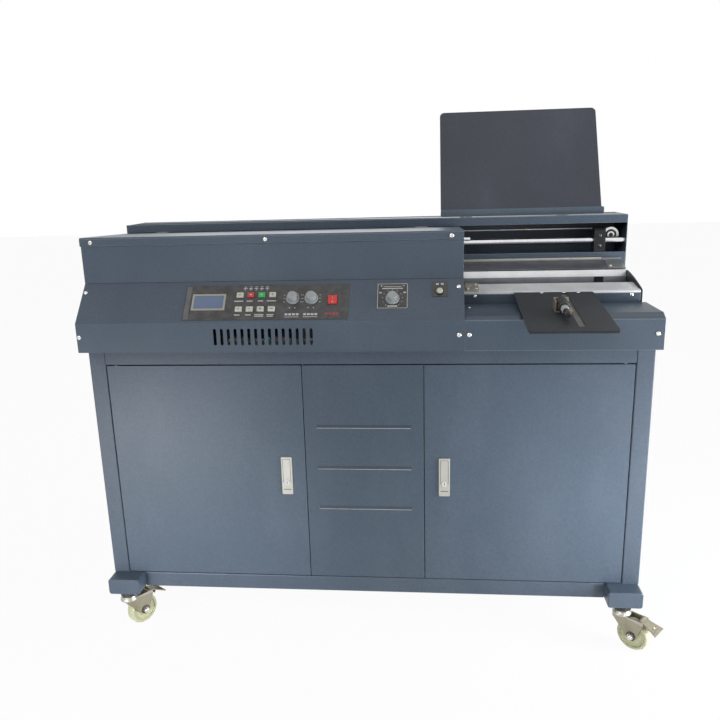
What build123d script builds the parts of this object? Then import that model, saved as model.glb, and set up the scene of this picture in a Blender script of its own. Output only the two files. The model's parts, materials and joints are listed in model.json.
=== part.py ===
from build123d import *
import os
from math import atan2, cos, degrees, hypot, radians, sin, tan

# Floor-standing perfect binding machine, in millimetres.
# +X is to the operator's right, +Y away from the operator, +Z up.
# The origin is on the floor under the middle of the machine's outline.

os.makedirs("parts", exist_ok=True)

# Cabinet
cabinet_width = 1300.0
cabinet_depth = 420.0
door_height = 540.0
bay_width = 280.0
tube = 40.0
tube_wall = 1.5
tube_corner = 3.0
sheet = 1.5
deck_sheet = 3.0
gap = 2.0
return_depth = 18.0
foot_width = 80.0
foot_overhang = 43.0
foot_corner = 6.0
foot_chamfer = 2.0
panel_recess = 4.5
touch = 0.3
running = 0.05

# Casters
wheel_radius = 37.5
caster_rise = 30.0
wheel_width = 24.0
wheel_shoulder = 4.5
wheel_recess = 3.5
wheel_rim = 8.0
wheel_hub_radius = 11.0
axle_radius = 5.0
stem_radius = 6.0
trail = 32.0
fork_sheet = 2.5
fork_side_gap = 1.5
stem_setback = 25.0
pedal_setback = 18.0
pedal_length = 40.0
pedal_width = 44.0
pedal_slope = 24.0
pedal_sheet = 2.5
caster_angles = {"front_left": 55.0, "front_right": -40.0, "rear_left": 180.0, "rear_right": -20.0}
braked = ("front_left", "front_right")

# Console and its sloping control panel
console_overhang = 40.0
console_margin = 3.0
fascia_height = 68.0
slope_run = 73.0
slope_rise = 83.0
console_flange = 19.0
split_x = 231.0
ledge_depth = 148.0
ledge_bevel = 20.0
ledge_rise = 11.0
vent_count = 15
vent_pitch = 15.7
vent_width = 7.0
vent_height = 38.0
vent_first_x = -327.5
vent_bottom = 16.0

# Controls, placed by x and by distance up the slope
overlay_left = -403.0
overlay_right = -25.0
overlay_low = 6.5
overlay_high = 99.0
plate_sheet = 1.2
display_x = -346.5
display_s = 53.5
display_width = 78.0
display_height = 43.0
button_first_x = -274.7
button_pitch = 25.2
button_columns = 4
button_rows = (71.0, 33.6)
button_width = 15.6
button_height = 12.6
button_stand = 3.5
button_depth = 7.0
button_travel = 1.5
button_chamfer = 0.7
dial_x = (-152.0, -110.0, 72.7)
dial_s = (61.0, 61.0, 58.0)
dial_skirt_radius = 15.5
dial_cap_radius = 10.5
dial_height = 16.0
dial_shaft_radius = 3.0
rocker_x = -61.7
rocker_s = 55.8
rocker_size = 22.0
rocker_tilt = 6.0
rocker_pivot_depth = 3.0
rocker_pin_radius = 1.5
rocker_depth = 6.0
rocker_rise = 4.0
rocker_dip = 1.5
dial_plate_left = 39.0
dial_plate_right = 106.0
dial_plate_low = 32.6
dial_plate_high = 97.0
start_plate_left = 161.0
start_plate_right = 195.6
start_plate_low = 62.0
start_plate_high = 101.0
start_x = 177.2
start_s = 76.0
start_radius = 7.0
start_ring = 10.0
start_chamfer = 1.3

# Door furniture
handle_width = 26.0
handle_height = 95.0
handle_thick = 3.5
handle_inset = 33.0
handle_bottom = 219.0
lock_height = 250.5
lock_radius = 6.0
cam_length = 61.0
cam_thick = 3.0
pin_radius = 4.0
pin_length = 12.0
pin_inset = 20.0
pin_setback = 8.0
boss_radius = 7.5

# Hood
hood_height = 106.0
hood_setback = 32.0
hood_lip = 5.0
hood_lip_height = 21.0
hood_sheet = 2.0
hood_fall = 9.0
hood_corner_notch = 8.0
hinge_radius = 5.0
hinge_pin_radius = 3.0
hinge_length = 30.0

# Rear housing with the carriage drive
housing_setback = 300.0
housing_height = 266.0
housing_margin = 2.0
opening_low = 173.0
opening_high = 246.0
shelf_drop = 10.0
lip_depth = 12.0
shaft_radius = 8.0
shaft_setback = 18.0
shaft_height = 202.0
pulley_radius = 16.5
flange_rise = 3.5
flange_thick = 1.4
pulley_height = 213.0
pulley_setback = 45.0
pulley_right_x = 621.0
pulley_left_x = -600.0
belt_thick = 1.5
belt_width = 10.0
stud_radius = 5.0
stop_block_x = 586.0
end_block_x = -632.0
block_width = 28.0
block_height = 70.0
block_depth = 30.0

# Clamp carriage, parked under the right end of the hood
clamp_length = 330.0
clamp_x = 60.0
clamp_gap = 60.0
clamp_plate = 14.0
clamp_bottom = 146.0
clamp_top = 223.0
clamp_rod_radius = 7.0
clamp_rod_inset = 12.0
clamp_rod_height = 208.0
clamp_bar = 12.0
spindle_radius = 6.0
spindle_length = 126.0
rear_jaw_setback = 240.0

# Milling and gluing units
cutter_x = -190.0
cutter_radius = 70.0
cutter_teeth = 12
unit_setback = 210.0
cutter_top = 144.0
milling_motor_radius = 50.0
motor_fins = 24
fin_rise = 4.0
fin_thick = 2.0
fin_margin = 12.0
terminal_box = (30.0, 46.0, 40.0)
tank_x = -425.0
tank_length = 150.0
tank_width = 140.0
tank_wall = 4.0
tank_bottom = 58.0
tank_top = 130.0
roller_radius = 30.0
journal_radius = 8.0
roller_height = 114.0

# Nipping station and cover table
nip_left = 236.0
nip_right = 640.0
nip_front = 108.0
nip_base_height = 98.0
nip_sheet = 3.0
rear_jaw_height = 37.0
rear_jaw_depth = 22.0
front_jaw_depth = 72.0
front_jaw_rise = 9.0
table_left = 351.0
table_right = 532.0
table_back_rise = 2.0
table_length = 261.0
table_tilt = 8.4
table_sheet = 2.0
table_lip = 6.0
ruler_x = 463.0
ruler_width = 14.0
ruler_length = 232.0
ruler_margin = 8.0
stop_x = 438.0
stop_wall_v = -119.0
stop_width = 32.0
stop_depth = 29.0
stop_height = 25.0
screw_height = 15.5
screw_radius = 3.0
screw_tail = 6.0
screw_knob_radius = 12.5
screw_knob_length = 42.0
screw_ring_radius = 6.5
screw_ring_length = 22.0
screw_tip_radius = 7.0
screw_length = 87.0
screw_edge = 1.5

# Document rest
rest_left = 185.0
rest_right = 590.0
rest_strip_right = 597.0
rest_setback = 322.0
rest_strip = 18.0
rest_length = 279.5
rest_tilt = 27.0
rest_sheet = 2.5
rest_corner = 12.0

# Heights and planes that follow from the sizes above
table_reach = (table_length * cos(radians(table_tilt))) - nip_front
front = (table_reach - cabinet_depth - foot_overhang) / 2
back = front + cabinet_depth
mid_y = front + cabinet_depth / 2
half_width = cabinet_width / 2
base_z = 2 * wheel_radius + caster_rise
rail_z = base_z + tube
door_z = rail_z + gap
door_top = door_z + door_height
frame_top = door_top + gap + tube
deck_top = frame_top + deck_sheet
ridge_z = frame_top + fascia_height
seam_z = ridge_z + slope_rise
hood_top = seam_z + hood_height
console_half = half_width + console_margin
housing_half = half_width + housing_margin
housing_front = front + housing_setback
housing_top = deck_top + housing_height
ledge_z = ridge_z + ledge_rise
nip_top = deck_top + nip_base_height
shaft_y = housing_front + shaft_setback
shaft_z = deck_top + shaft_height
pulley_y = housing_front + pulley_setback
pulley_z = deck_top + pulley_height
door_width = half_width - tube - bay_width / 2 - 2 * gap
slope_length = hypot(slope_run, slope_rise)
slope_angle = degrees(atan2(slope_rise, slope_run))

slope = Plane(
    origin=(0, front - console_overhang, ridge_z),
    x_dir=(1, 0, 0),
    z_dir=(0, -sin(radians(slope_angle)), cos(radians(slope_angle))),
)
slope_normal = Axis(slope.origin, slope.z_dir)
table_plane = Plane(
    origin=(0, front + nip_front - touch, nip_top + table_back_rise),
    x_dir=(1, 0, 0),
    z_dir=(0, -sin(radians(table_tilt)), cos(radians(table_tilt))),
)


def facing_back(y):
    """Plane across the machine at y, drawn in x and z and extruded with a negative amount."""
    return Plane.XZ.offset(-y)


def tube_section(width, height, corner=tube_corner):
    """Draw a box-tube section at each active location."""
    RectangleRounded(width, height, corner)
    RectangleRounded(width - 2 * tube_wall, height - 2 * tube_wall, corner - tube_wall, mode=Mode.SUBTRACT)


def group(name, *parts):
    """Keep several separate solids in one node."""
    solids = [solid for part in parts for solid in part.solids()]
    return Compound(label=name, children=solids)


# Cabinet frame: two foot beams, four posts and six rails of box tube
with BuildPart() as foot_beams:
    with BuildSketch(facing_back(front - foot_overhang)):
        with Locations((-half_width + foot_width / 2, base_z + tube / 2)):
            RectangleRounded(foot_width, tube, foot_corner)
        with Locations((half_width - foot_width / 2, base_z + tube / 2)):
            RectangleRounded(foot_width, tube, foot_corner)
    extrude(amount=-(cabinet_depth + 2 * foot_overhang))
    chamfer(foot_beams.edges().group_by(Axis.Y)[0], foot_chamfer)
    with BuildSketch(facing_back(front - foot_overhang + 2 * tube_wall)):
        with Locations((-half_width + foot_width / 2, base_z + tube / 2)):
            RectangleRounded(foot_width - 2 * tube_wall, tube - 2 * tube_wall, foot_corner - tube_wall)
        with Locations((half_width - foot_width / 2, base_z + tube / 2)):
            RectangleRounded(foot_width - 2 * tube_wall, tube - 2 * tube_wall, foot_corner - tube_wall)
    extrude(amount=-(cabinet_depth + 2 * foot_overhang - 4 * tube_wall), mode=Mode.SUBTRACT)
    with BuildSketch(Plane((0, mid_y, base_z))):
        with GridLocations(cabinet_width - foot_width, cabinet_depth + 2 * (foot_overhang - stem_setback), 2, 2):
            Circle(stem_radius + touch)
    extrude(amount=tube / 2, mode=Mode.SUBTRACT)

with BuildPart() as posts:
    with BuildSketch(Plane((0, mid_y, rail_z))):
        with GridLocations(cabinet_width - tube, cabinet_depth - tube, 2, 2):
            tube_section(tube, tube)
    extrude(amount=frame_top - rail_z)

with BuildPart() as rails:
    with BuildSketch(Plane.YZ.offset(-half_width + foot_width)):
        with Locations((front + tube / 2, base_z + tube / 2), (back - tube / 2, base_z + tube / 2)):
            tube_section(tube, tube)
    extrude(amount=cabinet_width - 2 * foot_width)
    with BuildSketch(Plane.YZ.offset(-half_width + tube)):
        with Locations((front + tube / 2, frame_top - tube / 2), (back - tube / 2, frame_top - tube / 2)):
            tube_section(tube, tube)
    extrude(amount=cabinet_width - 2 * tube)
    with BuildSketch(facing_back(front + tube)):
        with Locations((-half_width + tube / 2, frame_top - tube / 2), (half_width - tube / 2, frame_top - tube / 2)):
            tube_section(tube, tube)
    extrude(amount=-(cabinet_depth - 2 * tube))

cabinet_frame = group("cabinet_frame", foot_beams.part, posts.part, rails.part)
export_step(cabinet_frame, "parts/cabinet_frame.step")

# Side and back panels, set between the posts; the back one has vents and the mains inlet
panel_height = frame_top - tube - rail_z
panel_mid_z = rail_z + panel_height / 2
inlet_x = -430.0
inlet_z = rail_z + 60
back_vents = 8
back_vent_pitch = 24.0

with BuildPart() as side_panels:
    with BuildSketch(Plane.YZ.offset(-half_width + panel_recess)):
        with Locations((mid_y, panel_mid_z)):
            Rectangle(cabinet_depth - 2 * tube, panel_height)
    extrude(amount=sheet)
    mirror(about=Plane.YZ)

with BuildPart() as back_panel:
    with BuildSketch(facing_back(back - panel_recess)):
        with Locations((0, panel_mid_z)):
            Rectangle(cabinet_width - 2 * tube, panel_height)
        with Locations((-300, frame_top - 160), (300, frame_top - 160)):
            with GridLocations(back_vent_pitch, 0, back_vents, 1):
                SlotOverall(70, 6, rotation=90, mode=Mode.SUBTRACT)
        with Locations((inlet_x, inlet_z)):
            Rectangle(48, 28, mode=Mode.SUBTRACT)
    extrude(amount=sheet)

with BuildPart() as mains_inlet:
    with BuildSketch(facing_back(back - panel_recess - sheet - 22)):
        with Locations((inlet_x, inlet_z)):
            RectangleRounded(47.4, 27.4, 3)
    extrude(amount=-24)
    with BuildSketch(facing_back(back - panel_recess)):
        with Locations((inlet_x, inlet_z)):
            RectangleRounded(60, 34, 4)
    extrude(amount=-2.5)
    with BuildSketch(facing_back(back - panel_recess - 14)):
        with Locations((inlet_x, inlet_z)):
            RectangleRounded(25, 17, 3)
    extrude(amount=-20, mode=Mode.SUBTRACT)
    with BuildSketch(facing_back(back - panel_recess - 14)):
        with Locations((inlet_x, inlet_z + 3), (inlet_x - 7, inlet_z - 2), (inlet_x + 7, inlet_z - 2)):
            Rectangle(2, 5)
    extrude(amount=-12)

cabinet_panels = group("cabinet_panels", side_panels.part, back_panel.part, mains_inlet.part)
export_step(cabinet_panels, "parts/cabinet_panels.step")

# Inner sheets: floor, two bay partitions and the deck that closes the cabinet
floor_start = 14.0
partition_x = bay_width / 2 - 10

with BuildPart() as floor_panel:
    with BuildSketch(Plane.XY.offset(rail_z)):
        with Locations((0, (front + floor_start + back - panel_recess - 2 * sheet) / 2)):
            Rectangle(cabinet_width - 2 * tube - 2 * touch, cabinet_depth - floor_start - panel_recess - 2 * sheet)
    extrude(amount=sheet)

with BuildPart() as partitions:
    with BuildSketch(Plane.YZ.offset(-partition_x)):
        with Locations((mid_y, (rail_z + sheet + frame_top) / 2)):
            Rectangle(cabinet_depth - 2 * tube, frame_top - rail_z - sheet)
    extrude(amount=sheet)
    mirror(about=Plane.YZ)

with BuildPart() as deck:
    with BuildSketch(Plane((0, mid_y, frame_top))):
        Rectangle(cabinet_width, cabinet_depth)
    extrude(amount=deck_sheet)

inner_panels = group("inner_panels", floor_panel.part, partitions.part, deck.part)
export_step(inner_panels, "parts/inner_panels.step")


def tray(width, height, centre_x, centre_z):
    """A sheet pressing with its face on the cabinet front and its four returns folded back."""
    with Locations((centre_x, front + return_depth / 2, centre_z)):
        Box(width, return_depth, height)
    with Locations((centre_x, front + sheet + return_depth / 2, centre_z)):
        Box(width - 2 * sheet, return_depth, height - 2 * sheet, mode=Mode.SUBTRACT)


# Centre panel with three pressed louvres, each open on its underside
louvre_length = 224.0
louvre_height = 7.0
louvre_proud = 4.0
louvre_pitch = 103.0
louvre_first = 182.5
door_mid_z = door_z + door_height / 2

with BuildPart() as centre_panel:
    tray(bay_width, door_height, 0, door_mid_z)
    for index in range(3):
        louvre_z = door_z + louvre_first + index * louvre_pitch
        with BuildSketch(Plane.YZ.offset(-louvre_length / 2)):
            Polygon(
                (front, louvre_z + louvre_height),
                (front - louvre_proud, louvre_z),
                (front - louvre_proud + sheet, louvre_z),
                (front + sheet, louvre_z + louvre_height),
                align=None,
            )
        extrude(amount=louvre_length)
        with BuildSketch(Plane.YZ.offset(-louvre_length / 2)):
            Polygon(
                (front - louvre_proud + sheet, louvre_z),
                (front + 2 * sheet, louvre_z),
                (front + 2 * sheet, louvre_z + louvre_height - sheet),
                (front + sheet - 0.5, louvre_z + louvre_height - sheet),
                align=None,
            )
        extrude(amount=louvre_length, mode=Mode.SUBTRACT)
centre_panel.part.label = "centre_panel"
export_step(centre_panel.part, "parts/centre_panel.step")

# Doors, each with pivot bosses at its outer edge and a hole for the lock
door_mid_x = bay_width / 2 + gap + door_width / 2
hinge_x = door_mid_x + door_width / 2 - pin_inset
hinge_y = front + pin_setback
handle_x = bay_width / 2 + gap + handle_inset + handle_width / 2
handle_z = door_z + handle_bottom + handle_height / 2
lock_z = door_z + lock_height

for side, name in ((-1, "left"), (1, "right")):
    with BuildPart() as door:
        tray(door_width, door_height, side * door_mid_x, door_mid_z)
        with BuildSketch(Plane.XY.offset(door_z)):
            with Locations((side * hinge_x, hinge_y)):
                Circle(boss_radius)
        extrude(amount=pin_length)
        with BuildSketch(Plane.XY.offset(door_top - pin_length)):
            with Locations((side * hinge_x, hinge_y)):
                Circle(boss_radius)
        extrude(amount=pin_length)
        with BuildSketch(Plane.XY.offset(door_z)):
            with Locations((side * hinge_x, hinge_y)):
                Circle(pin_radius + running)
        extrude(amount=door_height, mode=Mode.SUBTRACT)
        with BuildSketch(facing_back(front)):
            with Locations((side * handle_x, lock_z)):
                Circle(lock_radius + running)
        extrude(amount=-2 * sheet, mode=Mode.SUBTRACT)
    door.part.label = f"{name}_door"
    export_step(door.part, f"parts/{name}_door.step")

    # Flush latch plate: a shallow frame round a pull paddle, with the lock in its lower third
    with BuildPart() as handle:
        with BuildSketch(facing_back(front)):
            with Locations((side * handle_x, handle_z)):
                RectangleRounded(handle_width, handle_height, 2.5)
        extrude(amount=handle_thick)
        chamfer(handle.faces().sort_by(Axis.Y)[0].edges(), 0.8)
        with BuildSketch(facing_back(front - handle_thick)):
            with Locations((side * handle_x, handle_z + 14)):
                RectangleRounded(handle_width - 7, handle_height - 36, 2)
                RectangleRounded(handle_width - 9, handle_height - 38, 1.5, mode=Mode.SUBTRACT)
            with Locations((side * handle_x, handle_z - handle_height / 2 + 13)):
                Rectangle(handle_width - 8, 1.6)
        extrude(amount=-1.2, mode=Mode.SUBTRACT)
        with BuildSketch(facing_back(front)):
            with Locations((side * handle_x, lock_z)):
                Circle(lock_radius + running)
        extrude(amount=handle_thick, mode=Mode.SUBTRACT)
    handle.part.label = f"{name}_handle"
    export_step(handle.part, f"parts/{name}_handle.step")

    # Lock cylinder with its cam, turned up while the door is unlocked
    with BuildPart() as lock:
        with BuildSketch(facing_back(front - handle_thick - 1.5)):
            with Locations((side * handle_x, lock_z)):
                Circle(lock_radius)
        extrude(amount=-(handle_thick + 1.5 + return_depth + gap + cam_thick))
        with BuildSketch(facing_back(front + return_depth + gap)):
            with Locations((side * handle_x, lock_z + cam_length / 2)):
                SlotOverall(cam_length + 2 * lock_radius, 2 * lock_radius, rotation=90)
        extrude(amount=-cam_thick)
        with BuildSketch(facing_back(front - handle_thick - 1.5)):
            with Locations((side * handle_x, lock_z)):
                Rectangle(1.6, 6)
        extrude(amount=-3, mode=Mode.SUBTRACT)
    lock.part.label = f"{name}_lock"
    export_step(lock.part, f"parts/{name}_lock.step")

# Console shells of folded sheet, closed by end plates
fascia_y = front - console_overhang
slope_top_y = fascia_y + slope_run
flange_y = slope_top_y + console_flange

with BuildPart() as console_body:
    with BuildSketch(Plane.YZ.offset(-console_half + sheet)):
        with BuildLine():
            Polyline(
                (front - touch, frame_top),
                (fascia_y, frame_top),
                (fascia_y, ridge_z),
                (slope_top_y, seam_z),
                (flange_y, seam_z),
            )
            offset(amount=sheet, side=Side.RIGHT, kind=Kind.INTERSECTION)
        make_face()
    extrude(amount=console_half - 2 * sheet + split_x)
    # Vent slots in the fascia
    with BuildSketch(facing_back(fascia_y)):
        with Locations((vent_first_x + (vent_count - 1) * vent_pitch / 2, frame_top + vent_bottom + vent_height / 2)):
            with GridLocations(vent_pitch, 0, vent_count, 1):
                SlotOverall(vent_height, vent_width, rotation=90)
    extrude(amount=-2 * sheet, mode=Mode.SUBTRACT)
    # Cut-outs for the controls in the slope
    with BuildSketch(slope.offset(-2 * sheet)):
        with Locations((display_x, display_s)):
            Rectangle(display_width - 4, display_height - 4)
        for row in button_rows:
            for column in range(button_columns):
                with Locations((button_first_x + column * button_pitch, row)):
                    Rectangle(button_width + 2 * touch, button_height + 2 * touch)
        with Locations((rocker_x, rocker_s)):
            Rectangle(rocker_size + 2, rocker_size + 2)
        for x, s in zip(dial_x, dial_s):
            with Locations((x, s)):
                Circle(dial_shaft_radius + running)
        with Locations((start_x, start_s)):
            Circle(start_radius + touch)
    extrude(amount=4 * sheet, mode=Mode.SUBTRACT)

with BuildPart() as console_left_end:
    with BuildSketch(Plane.YZ.offset(-console_half)):
        Polygon(
            (fascia_y, frame_top),
            (fascia_y, ridge_z),
            (slope_top_y, seam_z),
            (housing_front - touch, seam_z),
            (housing_front - touch, deck_top),
            (front - touch, deck_top),
            (front - touch, frame_top),
            align=None,
        )
    extrude(amount=sheet)

with BuildPart() as console_split_end:
    with BuildSketch(Plane.YZ.offset(split_x - sheet)):
        Polygon(
            (fascia_y, frame_top),
            (fascia_y, ridge_z),
            (slope_top_y, seam_z),
            (flange_y, seam_z),
            (flange_y, deck_top),
            (front - touch, deck_top),
            (front - touch, frame_top),
            align=None,
        )
    extrude(amount=sheet)

left_console = group("left_console", console_body.part, console_left_end.part, console_split_end.part)
export_step(left_console, "parts/left_console.step")

with BuildPart() as right_console:
    with BuildSketch(Plane.YZ.offset(split_x + touch)):
        with BuildLine():
            Polyline(
                (front - touch, frame_top),
                (fascia_y, frame_top),
                (fascia_y, ridge_z),
                (fascia_y + ledge_bevel, ledge_z),
                (fascia_y + ledge_depth, ledge_z),
                (fascia_y + ledge_depth, deck_top),
            )
            offset(amount=sheet, side=Side.RIGHT, kind=Kind.INTERSECTION)
        make_face()
    extrude(amount=console_half - split_x - touch)
    with BuildSketch(Plane.YZ.offset(console_half - sheet)):
        Polygon(
            (fascia_y, frame_top),
            (fascia_y, ridge_z),
            (fascia_y + ledge_bevel, ledge_z),
            (fascia_y + ledge_depth, ledge_z),
            (fascia_y + ledge_depth, deck_top),
            (front - touch, deck_top),
            (front - touch, frame_top),
            align=None,
        )
    extrude(amount=sheet)
right_console.part.label = "right_console"
export_step(right_console.part, "parts/right_console.step")


def slope_rectangle(left, right, low, high, corner):
    """Draw a rounded rectangle between two sides on the slope."""
    with Locations(((left + right) / 2, (low + high) / 2)):
        RectangleRounded(right - left, high - low, corner)


# Control overlay and the two small plates beside it
with BuildPart() as overlay:
    with BuildSketch(slope):
        slope_rectangle(overlay_left, overlay_right, overlay_low, overlay_high, 3)
        with Locations((display_x, display_s)):
            Rectangle(display_width + 2 * touch, display_height + 2 * touch, mode=Mode.SUBTRACT)
        for row in button_rows:
            for column in range(button_columns):
                with Locations((button_first_x + column * button_pitch, row)):
                    Rectangle(button_width + 2 * touch, button_height + 2 * touch, mode=Mode.SUBTRACT)
        with Locations((rocker_x, rocker_s)):
            Rectangle(rocker_size + 2 * touch, rocker_size + 2 * touch, mode=Mode.SUBTRACT)
        for x, s in zip(dial_x[:2], dial_s[:2]):
            with Locations((x, s)):
                Circle(dial_shaft_radius + running, mode=Mode.SUBTRACT)
    extrude(amount=plate_sheet)

with BuildPart() as small_plates:
    with BuildSketch(slope):
        slope_rectangle(dial_plate_left, dial_plate_right, dial_plate_low, dial_plate_high, 2)
        with Locations((dial_x[2], dial_s[2])):
            Circle(dial_shaft_radius + running, mode=Mode.SUBTRACT)
        slope_rectangle(start_plate_left, start_plate_right, start_plate_low, start_plate_high, 2)
        with Locations((start_x, start_s)):
            Circle(start_radius + touch, mode=Mode.SUBTRACT)
    extrude(amount=plate_sheet)
    with BuildSketch(slope.offset(plate_sheet)):
        with Locations((start_x, start_s)):
            Circle(start_ring)
            Circle(start_radius + touch, mode=Mode.SUBTRACT)
    extrude(amount=2.5)

control_plates = group("control_plates", overlay.part, small_plates.part)
export_step(control_plates, "parts/control_plates.step")

# Display: a bezel round a sunk window
with BuildPart() as display:
    with BuildSketch(slope):
        with Locations((display_x, display_s)):
            RectangleRounded(display_width, display_height, 1.5)
    extrude(amount=plate_sheet + 0.8)
    with BuildSketch(slope.offset(plate_sheet + 0.8)):
        with Locations((display_x, display_s)):
            RectangleRounded(display_width - 9, display_height - 9, 1)
    extrude(amount=-1.2, mode=Mode.SUBTRACT)
display.part.label = "display"
export_step(display.part, "parts/display.step")

# Membrane-style key caps that travel into the slope
for row_number, row in enumerate(button_rows):
    for column in range(button_columns):
        number = row_number * button_columns + column + 1
        with BuildPart() as button:
            with BuildSketch(slope.offset(plate_sheet + button_stand - button_depth)):
                with Locations((button_first_x + column * button_pitch, row)):
                    RectangleRounded(button_width, button_height, 1.5)
            extrude(amount=button_depth)
            chamfer(button.faces().sort_by(slope_normal)[-1].edges(), button_chamfer)
        button.part.label = f"button_{number}"
        export_step(button.part, f"parts/button_{number}.step")

# Dial knobs: a skirt, a tapered grip with a pointer groove, and a shaft through the sheet
for x, s, name in zip(dial_x, dial_s, ("heat_dial", "glue_dial", "clamp_dial")):
    with BuildPart() as dial:
        with BuildSketch(slope.offset(plate_sheet + touch)):
            with Locations((x, s)):
                Circle(dial_skirt_radius)
        extrude(amount=3.5, taper=8)
        with BuildSketch(slope.offset(plate_sheet + touch + 3.5)):
            with Locations((x, s)):
                Circle(dial_cap_radius)
        extrude(amount=dial_height - 3.5, taper=3)
        with BuildSketch(slope.offset(plate_sheet + touch + dial_height)):
            with Locations((x, s + dial_cap_radius / 2)):
                Rectangle(1.6, dial_cap_radius)
        extrude(amount=-1, mode=Mode.SUBTRACT)
        with BuildSketch(slope.offset(plate_sheet + touch)):
            with Locations((x, s)):
                Circle(dial_shaft_radius)
        extrude(amount=-12)
    dial.part.label = name
    export_step(dial.part, f"parts/{name}.step")

# Rocker switch on two pivot pins, resting with its lower end pressed
rocker_pivot = slope.from_local_coords(Vector(rocker_x, rocker_s, plate_sheet - rocker_pivot_depth))
rocker_seat = Plane(origin=rocker_pivot, x_dir=(1, 0, 0), z_dir=slope.z_dir).rotated((rocker_tilt, 0, 0))
rocker_half = rocker_size / 2 - 0.7
rocker_low = rocker_pivot_depth - rocker_depth
rocker_high = rocker_pivot_depth + rocker_rise
rocker_end = Plane(
    origin=rocker_seat.from_local_coords(Vector(-rocker_half, 0, 0)),
    x_dir=rocker_seat.y_dir,
    z_dir=rocker_seat.x_dir,
)

with BuildPart() as power_rocker:
    with BuildSketch(rocker_end):
        Polygon(
            (-rocker_half, rocker_low),
            (rocker_half, rocker_low),
            (rocker_half, rocker_high),
            (0, rocker_high - rocker_dip),
            (-rocker_half, rocker_high),
            align=None,
        )
    extrude(amount=2 * rocker_half)
    with BuildSketch(rocker_end.offset(-4 * touch)):
        Circle(rocker_pin_radius)
    extrude(amount=2 * rocker_half + 8 * touch)
power_rocker.part.label = "power_rocker"
export_step(power_rocker.part, "parts/power_rocker.step")

# Round start button inside its ring
with BuildPart() as start_button:
    with BuildSketch(slope.offset(-6)):
        with Locations((start_x, start_s)):
            Circle(start_radius)
    extrude(amount=6 + plate_sheet + 4.5)
    chamfer(start_button.faces().sort_by(slope_normal)[-1].edges(), start_chamfer)
start_button.part.label = "start_button"
export_step(start_button.part, "parts/start_button.step")

# Hood over the milling and gluing units, open at its right end and at the back
hood_y = front + hood_setback
hood_back_y = housing_front - 4
hood_low = seam_z + 0.5
hood_hinge_y = housing_front - 6
hood_hinge_z = hood_top - hood_fall - 7.5
hood_hinge_x = (-570.0, 120.0)
hood_line = [
    (hood_y, hood_low),
    (hood_y, hood_top - hood_lip_height),
    (hood_y - hood_lip, hood_top - hood_lip_height + 2),
    (hood_y - hood_lip, hood_top - 3),
    (hood_y - hood_lip + 3, hood_top),
    (hood_back_y, hood_top - hood_fall),
]

with BuildPart() as hood:
    with BuildSketch(Plane.YZ.offset(-console_half)):
        with BuildLine():
            Polyline(*hood_line)
            offset(amount=hood_sheet, side=Side.RIGHT, kind=Kind.INTERSECTION)
        make_face()
    extrude(amount=console_half + split_x)
    with BuildSketch(Plane.YZ.offset(-console_half)):
        Polygon(*(hood_line + [(hood_back_y, hood_low)]), align=None)
    extrude(amount=hood_sheet)
    for x in hood_hinge_x:
        # Notch in the rear edge for the fixed knuckle, then the hood's own knuckle
        with BuildSketch(Plane.YZ.offset(x - 1)):
            with Locations((hood_back_y, hood_hinge_z)):
                Rectangle(16, 40)
        extrude(amount=hinge_length + 2, mode=Mode.SUBTRACT)
        with BuildSketch(Plane.YZ.offset(x + hinge_length + touch)):
            with Locations((hood_hinge_y, hood_hinge_z)):
                Circle(hinge_radius)
            with Locations((hood_hinge_y, hood_hinge_z + hinge_radius / 2 + 0.75)):
                Rectangle(6, hinge_radius + 1.5)
        extrude(amount=hinge_length)
        with BuildSketch(Plane.YZ.offset(x + hinge_length)):
            with Locations((hood_hinge_y, hood_hinge_z)):
                Circle(hinge_pin_radius + running)
        extrude(amount=hinge_length + 1, mode=Mode.SUBTRACT)
    # Rear corner cut away, so that it swings clear of the housing's end plate
    with BuildSketch(Plane.YZ.offset(-console_half)):
        with Locations((hood_back_y, hood_top - hood_fall)):
            Rectangle(2 * hood_corner_notch, 4 * hood_corner_notch)
    extrude(amount=console_half - housing_half + 2 * hood_sheet, mode=Mode.SUBTRACT)
hood.part.label = "hood"
export_step(hood.part, "parts/hood.step")

# Document rest: a strip on the housing top and a panel leaning back from it
rest_y = front + rest_setback
rest_low = housing_top + 2
rest_bend_z = rest_low + rest_strip
rest_hinge_y = rest_y + rest_sheet + 5.5
rest_hinge_z = rest_low + 5
rest_hinge_x = (rest_left + 50, rest_right - 110)
rest_plane = Plane(
    origin=(0, rest_y, rest_bend_z),
    x_dir=(1, 0, 0),
    z_dir=(0, -cos(radians(rest_tilt)), sin(radians(rest_tilt))),
)

with BuildPart() as document_rest:
    with BuildSketch(rest_plane):
        with Locations(((rest_left + rest_right) / 2, rest_length / 2)):
            Rectangle(rest_right - rest_left, rest_length)
    extrude(amount=-rest_sheet)
    top_face = document_rest.faces().sort_by(Axis.Z)[-1]
    fillet(top_face.edges().filter_by(Axis.X, reverse=True), rest_corner)
    with BuildSketch(facing_back(rest_y)):
        with Locations(((rest_left + rest_strip_right) / 2, rest_low + rest_strip / 2)):
            RectangleRounded(rest_strip_right - rest_left, rest_strip, 4)
    extrude(amount=-rest_sheet)
    for x in rest_hinge_x:
        with BuildSketch(Plane.YZ.offset(x + hinge_length + touch)):
            with Locations((rest_hinge_y, rest_hinge_z)):
                Circle(hinge_radius)
            with Locations((rest_hinge_y - hinge_radius / 2 - 0.5, rest_hinge_z)):
                Rectangle(hinge_radius + 1.5, 6)
        extrude(amount=hinge_length)
        with BuildSketch(Plane.YZ.offset(x + hinge_length)):
            with Locations((rest_hinge_y, rest_hinge_z)):
                Circle(hinge_pin_radius + running)
        extrude(amount=hinge_length + 1, mode=Mode.SUBTRACT)
document_rest.part.label = "document_rest"
export_step(document_rest.part, "parts/document_rest.step")

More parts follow.
